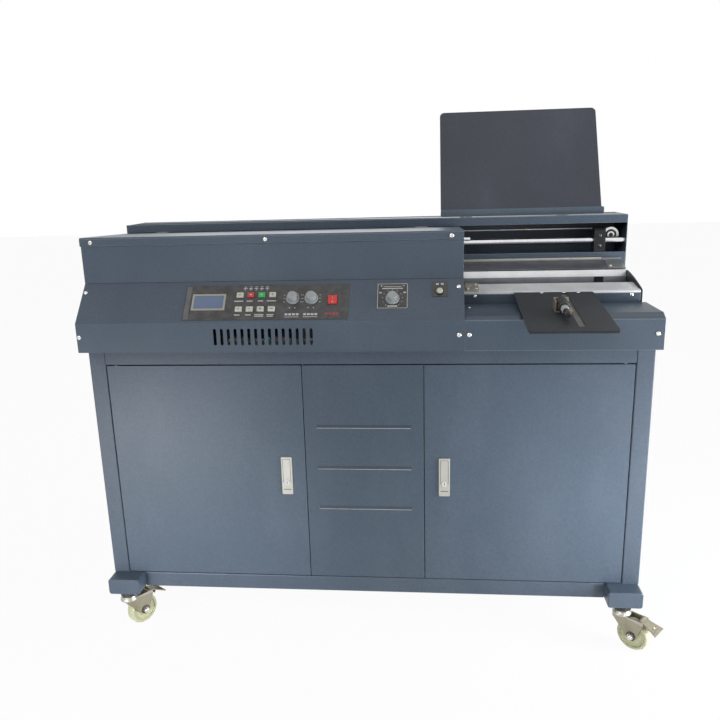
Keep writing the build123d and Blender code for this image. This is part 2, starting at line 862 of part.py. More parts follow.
# Hinge pins: door pivots, hood hinges under the housing lip and document rest hinges
lip_z = deck_top + opening_high

with BuildPart() as door_pins:
    for z in (rail_z, door_top - pin_length):
        with BuildSketch(Plane.XY.offset(z)):
            with Locations((-hinge_x, hinge_y), (hinge_x, hinge_y)):
                Circle(pin_radius)
        extrude(amount=pin_length + gap)

with BuildPart() as hood_pins:
    for x in hood_hinge_x:
        with BuildSketch(Plane.YZ.offset(x)):
            with Locations((hood_hinge_y, hood_hinge_z)):
                Circle(hinge_radius)
            Polygon(
                (hood_hinge_y, hood_hinge_z - 4),
                (housing_front + lip_depth, lip_z - 4),
                (housing_front + lip_depth, lip_z),
                (housing_front, lip_z),
                (hood_hinge_y, hood_hinge_z + 4),
                align=None,
            )
        extrude(amount=hinge_length)
        with BuildSketch(Plane.YZ.offset(x)):
            with Locations((hood_hinge_y, hood_hinge_z)):
                Circle(hinge_pin_radius)
        extrude(amount=2 * hinge_length + touch)

with BuildPart() as rest_pins:
    for x in rest_hinge_x:
        with BuildSketch(Plane.YZ.offset(x)):
            with Locations((rest_hinge_y, rest_hinge_z)):
                Circle(hinge_radius)
            Polygon(
                (rest_hinge_y - hinge_radius / 2, rest_hinge_z),
                (rest_hinge_y - hinge_radius / 2, housing_top),
                (rest_hinge_y + 20, housing_top),
                (rest_hinge_y + 20, housing_top + 2.5),
                (rest_hinge_y + hinge_radius, housing_top + 2.5),
                (rest_hinge_y + hinge_radius, rest_hinge_z),
                align=None,
            )
        extrude(amount=hinge_length)
        with BuildSketch(Plane.YZ.offset(x)):
            with Locations((rest_hinge_y, rest_hinge_z)):
                Circle(hinge_pin_radius)
        extrude(amount=2 * hinge_length + touch)

hinge_pins = group("hinge_pins", door_pins.part, hood_pins.part, rest_pins.part)
export_step(hinge_pins, "parts/hinge_pins.step")

# Rear housing: a low box with a shelf, a back wall, a lipped top cover and two end plates
end_plate = 2.0
housing_inside = housing_half - end_plate

with BuildPart() as low_box:
    with BuildSketch(Plane.YZ.offset(-housing_inside)):
        with BuildLine():
            Polyline(
                (housing_front, deck_top),
                (housing_front, deck_top + opening_low),
                (housing_front + lip_depth, deck_top + opening_low),
                (housing_front + lip_depth, deck_top + opening_low - shelf_drop),
                (back - sheet, deck_top + opening_low - shelf_drop),
            )
            offset(amount=sheet, side=Side.RIGHT, kind=Kind.INTERSECTION)
        make_face()
    extrude(amount=2 * housing_inside)

with BuildPart() as back_wall:
    with BuildSketch(Plane.XY.offset(deck_top)):
        with Locations((0, back - sheet / 2)):
            Rectangle(2 * housing_inside, sheet)
    extrude(amount=housing_height - sheet)

with BuildPart() as top_cover:
    with BuildSketch(Plane.YZ.offset(-housing_inside)):
        with BuildLine():
            Polyline(
                (back, housing_top),
                (housing_front, housing_top),
                (housing_front, lip_z),
                (housing_front + lip_depth, lip_z),
            )
            offset(amount=sheet, side=Side.LEFT, kind=Kind.INTERSECTION)
        make_face()
    extrude(amount=2 * housing_inside)

with BuildPart() as end_plates:
    with BuildSketch(Plane.YZ.offset(housing_inside)):
        with Locations(((housing_front + back) / 2, (deck_top + housing_top) / 2)):
            Rectangle(back - housing_front, housing_height)
    extrude(amount=end_plate)
    mirror(about=Plane.YZ)

with BuildPart() as idler_stud:
    with BuildSketch(facing_back(back - sheet)):
        with Locations((pulley_right_x, pulley_z)):
            Circle(stud_radius + 4)
    extrude(amount=back - sheet - pulley_y - belt_width / 2 - 1)
    with BuildSketch(facing_back(back - sheet)):
        with Locations((pulley_right_x, pulley_z)):
            Circle(stud_radius)
    extrude(amount=back - sheet - pulley_y + belt_width / 2 + 5)

rear_housing = group(
    "rear_housing", low_box.part, back_wall.part, top_cover.part, end_plates.part, idler_stud.part
)
export_step(rear_housing, "parts/rear_housing.step")

# Guide shaft with its end block and the stop block seen on the right
shelf_z = deck_top + opening_low - shelf_drop

with BuildPart() as shaft:
    with BuildSketch(Plane.YZ.offset(-housing_inside)):
        with Locations((shaft_y, shaft_z)):
            Circle(shaft_radius)
    extrude(amount=2 * housing_inside)

with BuildPart() as shaft_blocks:
    for x in (end_block_x, stop_block_x):
        with BuildSketch(Plane.YZ.offset(x - block_width / 2)):
            with Locations((shaft_y - 1, shelf_z + block_height / 2)):
                Rectangle(block_depth, block_height)
            with Locations((shaft_y, shaft_z)):
                Circle(shaft_radius + running, mode=Mode.SUBTRACT)
            # Foot stepped back behind the raised lip of the shelf
            with Locations((housing_front, shelf_z)):
                Rectangle(2 * (lip_depth + touch), 2 * (shelf_drop + touch), mode=Mode.SUBTRACT)
        extrude(amount=block_width)
    chamfer(shaft_blocks.faces().group_by(Axis.Z)[-1].edges().filter_by(Axis.X), 6)

guide_shaft = group("guide_shaft", shaft.part, shaft_blocks.part)
export_step(guide_shaft, "parts/guide_shaft.step")

# Drive belt, running between the two pulleys
belt_inner = pulley_radius + touch
pulley_span = pulley_right_x - pulley_left_x

with BuildPart() as drive_belt:
    with BuildSketch(facing_back(pulley_y - belt_width / 2)):
        with Locations(((pulley_left_x + pulley_right_x) / 2, pulley_z)):
            SlotCenterToCenter(pulley_span, 2 * (belt_inner + belt_thick))
            SlotCenterToCenter(pulley_span, 2 * belt_inner, mode=Mode.SUBTRACT)
    extrude(amount=-belt_width)
drive_belt.part.label = "drive_belt"
export_step(drive_belt.part, "parts/drive_belt.step")

for x, name in ((pulley_left_x, "drive_pulley"), (pulley_right_x, "idler_pulley")):
    with BuildPart() as pulley:
        with BuildSketch(facing_back(pulley_y - belt_width / 2 - 0.5)):
            with Locations((x, pulley_z)):
                Circle(pulley_radius)
        extrude(amount=-(belt_width + 1))
        # Front flange that keeps the belt on
        with BuildSketch(facing_back(pulley_y - belt_width / 2 - 0.5)):
            with Locations((x, pulley_z)):
                Circle(pulley_radius + flange_rise)
                Circle(pulley_radius - 2.5, mode=Mode.SUBTRACT)
        extrude(amount=flange_thick)
        with BuildSketch(facing_back(pulley_y - belt_width / 2 - 0.5)):
            with Locations((x, pulley_z)):
                Circle(pulley_radius - 2.5)
                Circle(stud_radius + 4, mode=Mode.SUBTRACT)
        extrude(amount=-4, mode=Mode.SUBTRACT)
        with BuildSketch(facing_back(pulley_y - belt_width / 2 - 3)):
            with Locations((x, pulley_z)):
                Circle(stud_radius + 4)
        extrude(amount=-3)
        with BuildSketch(facing_back(pulley_y - belt_width)):
            with Locations((x, pulley_z)):
                Circle(stud_radius + running)
        extrude(amount=-2 * belt_width, mode=Mode.SUBTRACT)
    pulley.part.label = name
    export_step(pulley.part, f"parts/{name}.step")

# Clamp carriage: two bearing arms, the fixed jaw, two guide rods and a front bar
clamp_left = clamp_x - clamp_length / 2
clamp_right = clamp_x + clamp_length / 2
clamp_low_z = deck_top + clamp_bottom
clamp_high_z = deck_top + clamp_top
rod_z = deck_top + clamp_rod_height
rod_x = clamp_length / 2 - clamp_rod_inset
fixed_jaw_y = front + rear_jaw_setback
bar_y = front + 104.0
arm_x = 100.0
arm_width = 40.0
bearing_half = 15.0
bush_wall = 3.5
bush_collar = 2.0

with BuildPart() as carriage_arms:
    for x in (clamp_x - arm_x, clamp_x + arm_x):
        with BuildSketch(Plane.YZ.offset(x - arm_width / 2)):
            with Locations((shaft_y, shaft_z)):
                Rectangle(2 * bearing_half, 2 * bearing_half + 2)
            with Locations(((fixed_jaw_y + clamp_plate + shaft_y) / 2, shaft_z)):
                Rectangle(shaft_y - fixed_jaw_y - clamp_plate, 24)
            with Locations((shaft_y, shaft_z)):
                Circle(shaft_radius + bush_wall, mode=Mode.SUBTRACT)
        extrude(amount=arm_width)
    # Tab that takes hold of the belt's lower run
    with BuildSketch(facing_back(shaft_y + bearing_half)):
        with Locations((clamp_x + arm_x, pulley_z - belt_inner)):
            Rectangle(20, 12)
    extrude(amount=-(pulley_y - belt_width / 2 - touch - shaft_y - bearing_half))

# Collared bronze bush in each arm, which runs on the shaft
with BuildPart() as bushes:
    for x in (clamp_x - arm_x, clamp_x + arm_x):
        with BuildSketch(Plane.YZ.offset(x - arm_width / 2)):
            with Locations((shaft_y, shaft_z)):
                Circle(shaft_radius + bush_wall)
        extrude(amount=arm_width)
        for start in (x - arm_width / 2 - bush_collar, x + arm_width / 2):
            with BuildSketch(Plane.YZ.offset(start)):
                with Locations((shaft_y, shaft_z)):
                    Circle(shaft_radius + 2 * bush_wall - touch)
            extrude(amount=bush_collar)
        with BuildSketch(Plane.YZ.offset(x - arm_width)):
            with Locations((shaft_y, shaft_z)):
                Circle(shaft_radius + running)
        extrude(amount=2 * arm_width, mode=Mode.SUBTRACT)

with BuildPart() as fixed_jaw:
    with BuildSketch(facing_back(fixed_jaw_y)):
        with Locations((clamp_x, (clamp_low_z + clamp_high_z) / 2)):
            Rectangle(clamp_length, clamp_high_z - clamp_low_z)
    extrude(amount=-clamp_plate)
    with BuildSketch(Plane.YZ.offset(clamp_right)):
        with Locations((fixed_jaw_y + clamp_plate / 2, clamp_high_z - 7)):
            Circle(4.5)
    extrude(amount=32)
    with BuildSketch(facing_back(fixed_jaw_y)):
        with Locations((clamp_x, clamp_low_z + 15)):
            with GridLocations(0, 6, 1, 4):
                Rectangle(clamp_length, 2)
    extrude(amount=-1.5, mode=Mode.SUBTRACT)

with BuildPart() as clamp_rods:
    with BuildSketch(facing_back(bar_y)):
        with Locations((clamp_x - rod_x, rod_z), (clamp_x + rod_x, rod_z)):
            Circle(clamp_rod_radius)
    extrude(amount=-(fixed_jaw_y - bar_y))

with BuildPart() as front_bar:
    with BuildSketch(facing_back(bar_y)):
        with Locations((clamp_x, rod_z)):
            RectangleRounded(clamp_length, 30, 4)
            Circle(spindle_radius + running, mode=Mode.SUBTRACT)
    extrude(amount=clamp_bar)

clamp_carriage = group(
    "clamp_carriage", carriage_arms.part, bushes.part, fixed_jaw.part, clamp_rods.part, front_bar.part
)
export_step(clamp_carriage, "parts/clamp_carriage.step")

# Moving jaw with its spindle
with BuildPart() as clamp_jaw:
    with BuildSketch(facing_back(fixed_jaw_y - clamp_gap)):
        with Locations((clamp_x, (clamp_low_z + clamp_high_z) / 2)):
            Rectangle(clamp_length, clamp_high_z - clamp_low_z)
        with Locations((clamp_x - rod_x, rod_z), (clamp_x + rod_x, rod_z)):
            Circle(clamp_rod_radius + running, mode=Mode.SUBTRACT)
    extrude(amount=clamp_plate)
    with BuildSketch(facing_back(fixed_jaw_y - clamp_gap)):
        with Locations((clamp_x, clamp_low_z + 15)):
            with GridLocations(0, 6, 1, 4):
                Rectangle(clamp_length, 2)
    extrude(amount=1.5, mode=Mode.SUBTRACT)
    with BuildSketch(facing_back(fixed_jaw_y - clamp_gap - clamp_plate)):
        with Locations((clamp_x, rod_z)):
            Circle(spindle_radius)
    extrude(amount=spindle_length)
clamp_jaw.part.label = "clamp_jaw"
export_step(clamp_jaw.part, "parts/clamp_jaw.step")

# Milling unit and glue roller drives: three motors fixed to the deck and the back wall
unit_y = front + unit_setback
milling_top = deck_top + cutter_top
flange_z = milling_top - 34
roller_z = deck_top + roller_height
tank_front_y = unit_y - tank_width / 2

with BuildPart() as milling_motor:
    with BuildSketch(Plane((cutter_x, unit_y, deck_top))):
        Circle(milling_motor_radius)
    extrude(amount=flange_z - deck_top)
    # Cooling fins along the casing and the terminal box on its side
    with BuildSketch(Plane((cutter_x, unit_y, deck_top + fin_margin))):
        with PolarLocations(milling_motor_radius, motor_fins):
            Rectangle(2 * fin_rise, fin_thick)
    extrude(amount=flange_z - deck_top - 2 * fin_margin)
    terminal_x = cutter_x + milling_motor_radius + terminal_box[0] / 3
    with Locations((terminal_x, unit_y, (deck_top + flange_z) / 2)):
        Box(*terminal_box)
    with BuildSketch(Plane((cutter_x, unit_y, flange_z))):
        RectangleRounded(2 * milling_motor_radius + 24, 2 * milling_motor_radius + 24, 12)
    extrude(amount=8)
    with BuildSketch(Plane((cutter_x, unit_y, flange_z))):
        Circle(journal_radius)
    extrude(amount=milling_top - flange_z - 4)

with BuildPart() as belt_motor:
    with BuildSketch(facing_back(pulley_y + belt_width)):
        with Locations((pulley_left_x, pulley_z)):
            Circle(28)
    extrude(amount=-(back - sheet - pulley_y - belt_width))
    with BuildSketch(facing_back(pulley_y - belt_width)):
        with Locations((pulley_left_x, pulley_z)):
            Circle(stud_radius)
    extrude(amount=-2 * belt_width)

with BuildPart() as roller_motor:
    with BuildSketch(Plane((tank_x, tank_front_y - 46, deck_top))):
        Rectangle(40, 44)
    extrude(amount=roller_z - 30 - deck_top)
    with BuildSketch(Plane((tank_x, tank_front_y - 46, roller_z - 30))):
        RectangleRounded(60, 60, 6)
    extrude(amount=60)
    with BuildSketch(facing_back(tank_front_y - 16)):
        with Locations((tank_x, roller_z)):
            Circle(journal_radius + 3)
    extrude(amount=-(16 - 12 - touch))

drive_motors = group("drive_motors", milling_motor.part, belt_motor.part, roller_motor.part)
export_step(drive_motors, "parts/drive_motors.step")

# Milling cutter: a dished disc with a ring of raked teeth
with BuildPart() as milling_cutter:
    with BuildSketch(Plane((cutter_x, unit_y, milling_top - 12))):
        Circle(cutter_radius)
        with PolarLocations(cutter_radius + 3, cutter_teeth):
            Circle(9, mode=Mode.SUBTRACT)
    extrude(amount=8)
    with BuildSketch(Plane((cutter_x, unit_y, milling_top - 4))):
        Circle(journal_radius + 10)
    extrude(amount=3)
    with BuildSketch(Plane((cutter_x, unit_y, milling_top - 4))):
        with PolarLocations(cutter_radius - 9, cutter_teeth, start_angle=180 / cutter_teeth):
            Rectangle(12, 6, rotation=20)
    extrude(amount=4)
    with BuildSketch(Plane((cutter_x, unit_y, milling_top - 20))):
        Circle(journal_radius + running)
    extrude(amount=24, mode=Mode.SUBTRACT)
milling_cutter.part.label = "milling_cutter"
export_step(milling_cutter.part, "parts/milling_cutter.step")

# Glue tank: a cast trough on two feet, notched for the roller's journals, with a scraper bar
tank_low_z = deck_top + tank_bottom
tank_high_z = deck_top + tank_top

with BuildPart() as glue_tank:
    with BuildSketch(Plane((tank_x, unit_y, tank_low_z))):
        RectangleRounded(tank_length, tank_width, 10)
    extrude(amount=tank_high_z - tank_low_z)
    with BuildSketch(Plane((tank_x, unit_y, tank_low_z + tank_wall))):
        RectangleRounded(tank_length - 2 * tank_wall, tank_width - 2 * tank_wall, 10 - tank_wall)
    extrude(amount=tank_high_z - tank_low_z, mode=Mode.SUBTRACT)
    with BuildSketch(facing_back(tank_front_y)):
        with Locations((tank_x, roller_z)):
            Circle(journal_radius + running)
        with Locations((tank_x, roller_z + 20)):
            Rectangle(2 * (journal_radius + running), 40)
    extrude(amount=-tank_width, mode=Mode.SUBTRACT)
    with BuildSketch(Plane((tank_x + roller_radius + 5, unit_y, roller_z - 10))):
        Rectangle(3, tank_width - tank_wall)
    extrude(amount=roller_radius - 8)
    with BuildSketch(Plane((tank_x, unit_y, deck_top))):
        with GridLocations(tank_length - 40, 0, 2, 1):
            Rectangle(18, tank_width - 20)
    extrude(amount=tank_bottom)
glue_tank.part.label = "glue_tank"
export_step(glue_tank.part, "parts/glue_tank.step")

with BuildPart() as glue_roller:
    with BuildSketch(facing_back(tank_front_y - 12)):
        with Locations((tank_x, roller_z)):
            Circle(journal_radius)
    extrude(amount=-(tank_width + 24))
    with BuildSketch(facing_back(tank_front_y + tank_wall + 6)):
        with Locations((tank_x, roller_z)):
            Circle(roller_radius)
    extrude(amount=-(tank_width - 2 * tank_wall - 12))
glue_roller.part.label = "glue_roller"
export_step(glue_roller.part, "parts/glue_roller.step")

# Nipping station: a folded base, two aluminium jaws, a black end cheek and a sloping rear plate
nip_front_y = front + nip_front
nip_length = nip_right - nip_left
front_jaw_z = nip_top + touch

with BuildPart() as nipping_base:
    with BuildSketch(Plane.YZ.offset(nip_left)):
        with BuildLine():
            Polyline(
                (nip_front_y + 1, deck_top),
                (nip_front_y + 1, nip_top),
                (housing_front - touch, nip_top),
                (housing_front - touch, deck_top),
            )
            offset(amount=nip_sheet, side=Side.RIGHT, kind=Kind.INTERSECTION)
        make_face()
    extrude(amount=nip_length)
nipping_base.part.label = "nipping_base"
export_step(nipping_base.part, "parts/nipping_base.step")

with BuildPart() as rear_nip_jaw:
    with BuildSketch(Plane.YZ.offset(nip_left)):
        Polygon(
            (fixed_jaw_y, nip_top),
            (fixed_jaw_y, nip_top + rear_jaw_height - 16),
            (fixed_jaw_y + 3, nip_top + rear_jaw_height),
            (fixed_jaw_y + rear_jaw_depth, nip_top + rear_jaw_height),
            (fixed_jaw_y + rear_jaw_depth, nip_top),
            align=None,
        )
    extrude(amount=nip_length)
    with BuildSketch(Plane.YZ.offset(nip_left)):
        with Locations((fixed_jaw_y + rear_jaw_depth, nip_top + rear_jaw_height / 2)):
            Rectangle(12, 8)
    extrude(amount=nip_length, mode=Mode.SUBTRACT)
rear_nip_jaw.part.label = "rear_nip_jaw"
export_step(rear_nip_jaw.part, "parts/rear_nip_jaw.step")

with BuildPart() as front_nip_jaw:
    with BuildSketch(Plane.YZ.offset(nip_left)):
        Polygon(
            (nip_front_y, front_jaw_z),
            (nip_front_y, nip_top + 6),
            (nip_front_y + front_jaw_depth - 3, nip_top + 6 + front_jaw_rise),
            (nip_front_y + front_jaw_depth, nip_top + 3 + front_jaw_rise),
            (nip_front_y + front_jaw_depth, front_jaw_z),
            align=None,
        )
        with Locations((nip_front_y + 20, front_jaw_z), (nip_front_y + 50, front_jaw_z)):
            Rectangle(8, 6, mode=Mode.SUBTRACT)
    extrude(amount=nip_length - touch)
front_nip_jaw.part.label = "front_nip_jaw"
export_step(front_nip_jaw.part, "parts/front_nip_jaw.step")

with BuildPart() as end_cheek:
    with BuildSketch(Plane.YZ.offset(nip_right + touch)):
        with BuildLine():
            Polyline(
                (housing_front - touch, deck_top),
                (nip_front_y + 1, deck_top),
                (nip_front_y + 1, nip_top + 5),
                (nip_front_y + 8, nip_top + 9),
            )
            Spline(
                (nip_front_y + 8, nip_top + 9),
                (front + 150, nip_top + 18),
                (front + 195, nip_top + 28),
                (front + 243, nip_top + rear_jaw_height - 2),
            )
            Polyline(
                (front + 243, nip_top + rear_jaw_height - 2),
                (housing_front - touch, nip_top + rear_jaw_height - 2),
                (housing_front - touch, deck_top),
            )
        make_face()
    extrude(amount=4)
end_cheek.part.label = "end_cheek"
export_step(end_cheek.part, "parts/end_cheek.step")

with BuildPart() as rear_rest_plate:
    with BuildSketch(Plane.YZ.offset(nip_left)):
        with BuildLine():
            Polyline(
                (housing_front - touch, nip_top + 61),
                (housing_front - touch, nip_top + 54),
                (fixed_jaw_y + 6, nip_top + rear_jaw_height + 1.5),
            )
            offset(amount=2, side=Side.RIGHT, kind=Kind.INTERSECTION)
        make_face()
    extrude(amount=nip_length)
rear_rest_plate.part.label = "rear_rest_plate"
export_step(rear_rest_plate.part, "parts/rear_rest_plate.step")

# Cover table: a tilted sheet with a ruler groove, a front lip and two ribs that stand on the ledge
rib_x = (table_left + 25, table_right - 25)
rib_front_y = front + 5
rib_back_y = nip_front_y - 8


def table_under(y):
    """Height of the table's underside at y."""
    return table_plane.origin.Z - (table_plane.origin.Y - y) * tan(radians(table_tilt))


with BuildPart() as cover_table:
    with BuildSketch(table_plane):
        with Locations(((table_left + table_right) / 2, -table_length / 2)):
            RectangleRounded(table_right - table_left, table_length, 2)
        with Locations((ruler_x, -ruler_margin - ruler_length / 2)):
            SlotOverall(ruler_length, ruler_width, rotation=90, mode=Mode.SUBTRACT)
    extrude(amount=table_sheet)
    with BuildSketch(table_plane.offset(-1.5)):
        with Locations((ruler_x, -ruler_margin - ruler_length / 2)):
            RectangleRounded(ruler_width + 8, ruler_length + 8, 3)
    extrude(amount=1.5)
    with BuildSketch(table_plane.offset(-table_lip + table_sheet)):
        with Locations(((table_left + table_right) / 2, -table_length + table_sheet / 2)):
            Rectangle(table_right - table_left - 4, table_sheet)
    extrude(amount=table_lip - table_sheet)
    for x in rib_x:
        with BuildSketch(Plane.YZ.offset(x)):
            Polygon(
                (rib_front_y, ledge_z),
                (rib_back_y, ledge_z),
                (rib_back_y, table_under(rib_back_y) + 0.5),
                (rib_front_y, table_under(rib_front_y) + 0.5),
                align=None,
            )
        extrude(amount=2.5)
cover_table.part.label = "cover_table"
export_step(cover_table.part, "parts/cover_table.step")

# Side stop: an L bracket on the table with a tongue in the ruler groove
stop_left = stop_x - stop_width / 2
stop_right = stop_x + stop_width / 2
table_face = table_plane.offset(table_sheet)
tongue_left = ruler_x - ruler_width / 2 + touch

with BuildPart() as side_stop:
    with BuildSketch(table_face.offset(touch)):
        with Locations(((stop_left + tongue_left + 5) / 2, stop_wall_v - stop_depth / 2)):
            Rectangle(tongue_left + 5 - stop_left, stop_depth)
    extrude(amount=2)
    with BuildSketch(table_face.offset(touch)):
        with Locations((stop_x, stop_wall_v - 1)):
            Rectangle(stop_width, 2)
        with Locations((stop_left + 1, stop_wall_v - stop_depth / 2)):
            Rectangle(2, stop_depth)
    extrude(amount=stop_height)
    with BuildSketch(table_plane.offset(touch)):
        with Locations((tongue_left + 2.5, stop_wall_v - stop_depth / 2)):
            Rectangle(5, stop_depth)
    extrude(amount=table_sheet)
    with BuildSketch(Plane(origin=table_face.from_local_coords(Vector(stop_x, stop_wall_v, screw_height)),
                           x_dir=(1, 0, 0), z_dir=table_plane.y_dir)):
        Circle(screw_radius + running)
    extrude(amount=-10, mode=Mode.SUBTRACT)
side_stop.part.label = "side_stop"
export_step(side_stop.part, "parts/side_stop.step")

# Stop screw, turned from the bracket outwards: a black knob, a knurled ring and a plain tip
screw_start = table_face.from_local_coords(Vector(stop_x, stop_wall_v - 2.0 - touch, screw_height))
screw_side = Plane(origin=screw_start, x_dir=-table_plane.y_dir, z_dir=(1, 0, 0))
screw_ring_end = screw_knob_length + screw_ring_length

with BuildPart() as stop_screw:
    with BuildSketch(screw_side):
        Polygon(
            (-screw_tail, 0),
            (-screw_tail, screw_radius),
            (0, screw_radius),
            (0, screw_knob_radius - screw_edge),
            (screw_edge, screw_knob_radius),
            (screw_knob_length - screw_edge, screw_knob_radius),
            (screw_knob_length, screw_knob_radius - screw_edge),
            (screw_knob_length, screw_ring_radius),
            (screw_ring_end, screw_ring_radius),
            (screw_ring_end, screw_tip_radius),
            (screw_length - screw_edge, screw_tip_radius),
            (screw_length, screw_tip_radius - screw_edge),
            (screw_length, 0),
            align=None,
        )
    revolve(axis=Axis(screw_start, screw_side.x_dir))
stop_screw.part.label = "stop_screw"
export_step(stop_screw.part, "parts/stop_screw.step")

# Casters: stems in the foot beams, swivelling forks, wheels and two brake pedals
stem_x = half_width - foot_width / 2
stem_front_y = front - foot_overhang + stem_setback
stem_back_y = back + foot_overhang - stem_setback
caster_places = {
    "front_left": (-stem_x, stem_front_y),
    "front_right": (stem_x, stem_front_y),
    "rear_left": (-stem_x, stem_back_y),
    "rear_right": (stem_x, stem_back_y),
}
nut_height = 12.0
race_height = 7.0
race_radius = 22.0
fork_top = base_z - nut_height - 3
fork_plate_z = fork_top - race_height - 3
leg_gap = wheel_width / 2 + fork_side_gap
pedal_pivot = trail + pedal_setback
pedal_pivot_rise = fork_plate_z - wheel_radius

with BuildPart() as stems:
    for x, y in caster_places.values():
        with BuildSketch(Plane((x, y, base_z - nut_height))):
            RegularPolygon(16, 6)
        extrude(amount=nut_height)
        with BuildSketch(Plane((x, y, fork_top + touch))):
            Circle(15)
        extrude(amount=3 - touch)
        with BuildSketch(Plane((x, y, fork_plate_z - 3))):
            Circle(stem_radius)
        extrude(amount=nut_height + tube)
        with BuildSketch(Plane((x, y, fork_plate_z - 3))):
            Circle(9)
        extrude(amount=3 - touch)
stems.part.label = "caster_stems"
export_step(stems.part, "parts/caster_stems.step")

for place, (x, y) in caster_places.items():
    angle = radians(caster_angles[place])
    level = Plane(origin=(x, y, 0), x_dir=(cos(angle), sin(angle), 0), z_dir=(0, 0, 1))
    upright = Plane(origin=(x, y, 0), x_dir=(cos(angle), sin(angle), 0), z_dir=(sin(angle), -cos(angle), 0))
    plate_end = pedal_pivot + 8 if place in braked else race_radius

    with BuildPart() as fork:
        with BuildSketch(level.offset(fork_plate_z)):
            Circle(race_radius)
            with Locations(((plate_end - race_radius) / 2 if place not in braked else 2, 0)):
                Rectangle(race_radius * 2 - 8, 2 * (leg_gap + fork_sheet))
        extrude(amount=3)
        with BuildSketch(level.offset(fork_plate_z + 3)):
            Circle(race_radius)
        extrude(amount=race_height, taper=30)
        for leg_side in (-1, 1):
            with BuildSketch(upright.offset(leg_side * (leg_gap + fork_sheet / 2) - fork_sheet / 2)):
                with BuildLine():
                    Polyline(
                        (-16, fork_plate_z + 3),
                        (-16, fork_plate_z - 6),
                        (trail - 11, wheel_radius - 4),
                    )
                    ThreePointArc(
                        (trail - 11, wheel_radius - 4),
                        (trail, wheel_radius - 11.5),
                        (trail + 11, wheel_radius - 4),
                    )
                    Polyline(
                        (trail + 11, wheel_radius - 4),
                        (plate_end, fork_plate_z - 6),
                        (plate_end, fork_plate_z + 3),
                        (-16, fork_plate_z + 3),
                    )
                make_face()
            extrude(amount=fork_sheet)
        if place in braked:
            with BuildSketch(upright.offset(-leg_gap - fork_sheet)):
                with Locations((pedal_pivot, wheel_radius + pedal_pivot_rise)):
                    Circle(3)
            extrude(amount=2 * (leg_gap + fork_sheet))
        with BuildSketch(level.offset(fork_plate_z - 1)):
            Circle(stem_radius + running)
        extrude(amount=race_height + 6, mode=Mode.SUBTRACT)
        with BuildSketch(upright.offset(-leg_gap - fork_sheet)):
            with Locations((trail, wheel_radius)):
                Circle(axle_radius)
        extrude(amount=2 * (leg_gap + fork_sheet), mode=Mode.SUBTRACT)

    with BuildPart() as axle_bolt:
        with BuildSketch(upright.offset(-leg_gap - fork_sheet - 7)):
            with Locations((trail, wheel_radius)):
                Circle(axle_radius)
        extrude(amount=2 * (leg_gap + fork_sheet + 7))
        for start in (-leg_gap - fork_sheet - 5, leg_gap + fork_sheet):
            with BuildSketch(upright.offset(start)):
                with Locations((trail, wheel_radius)):
                    RegularPolygon(8.5, 6)
            extrude(amount=5)

    caster_fork = group(f"fork_{place}", fork.part, axle_bolt.part)
    export_step(caster_fork, f"parts/fork_{place}.step")

    # Nylon wheel, turned: a bore, a hub, a dished web and a tread with eased shoulders
    axle = upright.from_local_coords(Vector(trail, wheel_radius, 0))
    wheel_face = wheel_width / 2
    hub_face = leg_gap - touch
    with BuildPart() as wheel:
        with BuildSketch(Plane(origin=axle, x_dir=upright.z_dir, z_dir=level.x_dir)):
            Polygon(
                (0, axle_radius + running),
                (hub_face, axle_radius + running),
                (hub_face, wheel_hub_radius),
                (wheel_face - wheel_recess, wheel_hub_radius),
                (wheel_face - wheel_recess, wheel_radius - wheel_rim),
                (wheel_face, wheel_radius - wheel_rim),
                (wheel_face, wheel_radius - wheel_shoulder),
                (wheel_face - wheel_shoulder / 3, wheel_radius - wheel_shoulder / 3),
                (wheel_face - wheel_shoulder, wheel_radius),
                (0, wheel_radius),
                align=None,
            )
            mirror(about=Plane.YZ)
        revolve(axis=Axis(axle, upright.z_dir))
    wheel.part.label = f"wheel_{place}"
    export_step(wheel.part, f"parts/wheel_{place}.step")

    if place in braked:
        # Brake pedal: a hub on the fork's pin and a flared tread that slopes down and out
        pedal_plane = Plane(
            origin=upright.from_local_coords(Vector(pedal_pivot, wheel_radius + pedal_pivot_rise, 0)),
            x_dir=level.x_dir * cos(radians(pedal_slope)) - Vector(0, 0, sin(radians(pedal_slope))),
            z_dir=level.x_dir * sin(radians(pedal_slope)) + Vector(0, 0, cos(radians(pedal_slope))),
        )
        tread_length = pedal_length / cos(radians(pedal_slope))
        with BuildPart() as pedal:
            with BuildSketch(upright.offset(-leg_gap + touch)):
                with Locations((pedal_pivot, wheel_radius + pedal_pivot_rise)):
                    Circle(5.5)
            extrude(amount=2 * (leg_gap - touch))
            with BuildSketch(pedal_plane.offset(pedal_sheet)):
                Polygon(
                    (0, -leg_gap + touch),
                    (tread_length * 0.35, -leg_gap + touch),
                    (tread_length, -pedal_width / 2),
                    (tread_length, pedal_width / 2),
                    (tread_length * 0.35, leg_gap - touch),
                    (0, leg_gap - touch),
                    align=None,
                )
            extrude(amount=pedal_sheet)
            # Two grip ribs across the tread
            with BuildSketch(pedal_plane.offset(2 * pedal_sheet)):
                for share in (0.7, 0.85):
                    with Locations((tread_length * share, 0)):
                        Rectangle(2, pedal_width * share - 4)
            extrude(amount=1)
            with BuildSketch(upright.offset(-leg_gap)):
                with Locations((pedal_pivot, wheel_radius + pedal_pivot_rise)):
                    Circle(3 + running)
            extrude(amount=2 * leg_gap, mode=Mode.SUBTRACT)
        pedal.part.label = f"pedal_{place}"
        export_step(pedal.part, f"parts/pedal_{place}.step")
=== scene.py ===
import bmesh
import bpy
import json
from math import atan2, cos, hypot, pi, radians, sin
from mathutils import Matrix, Vector


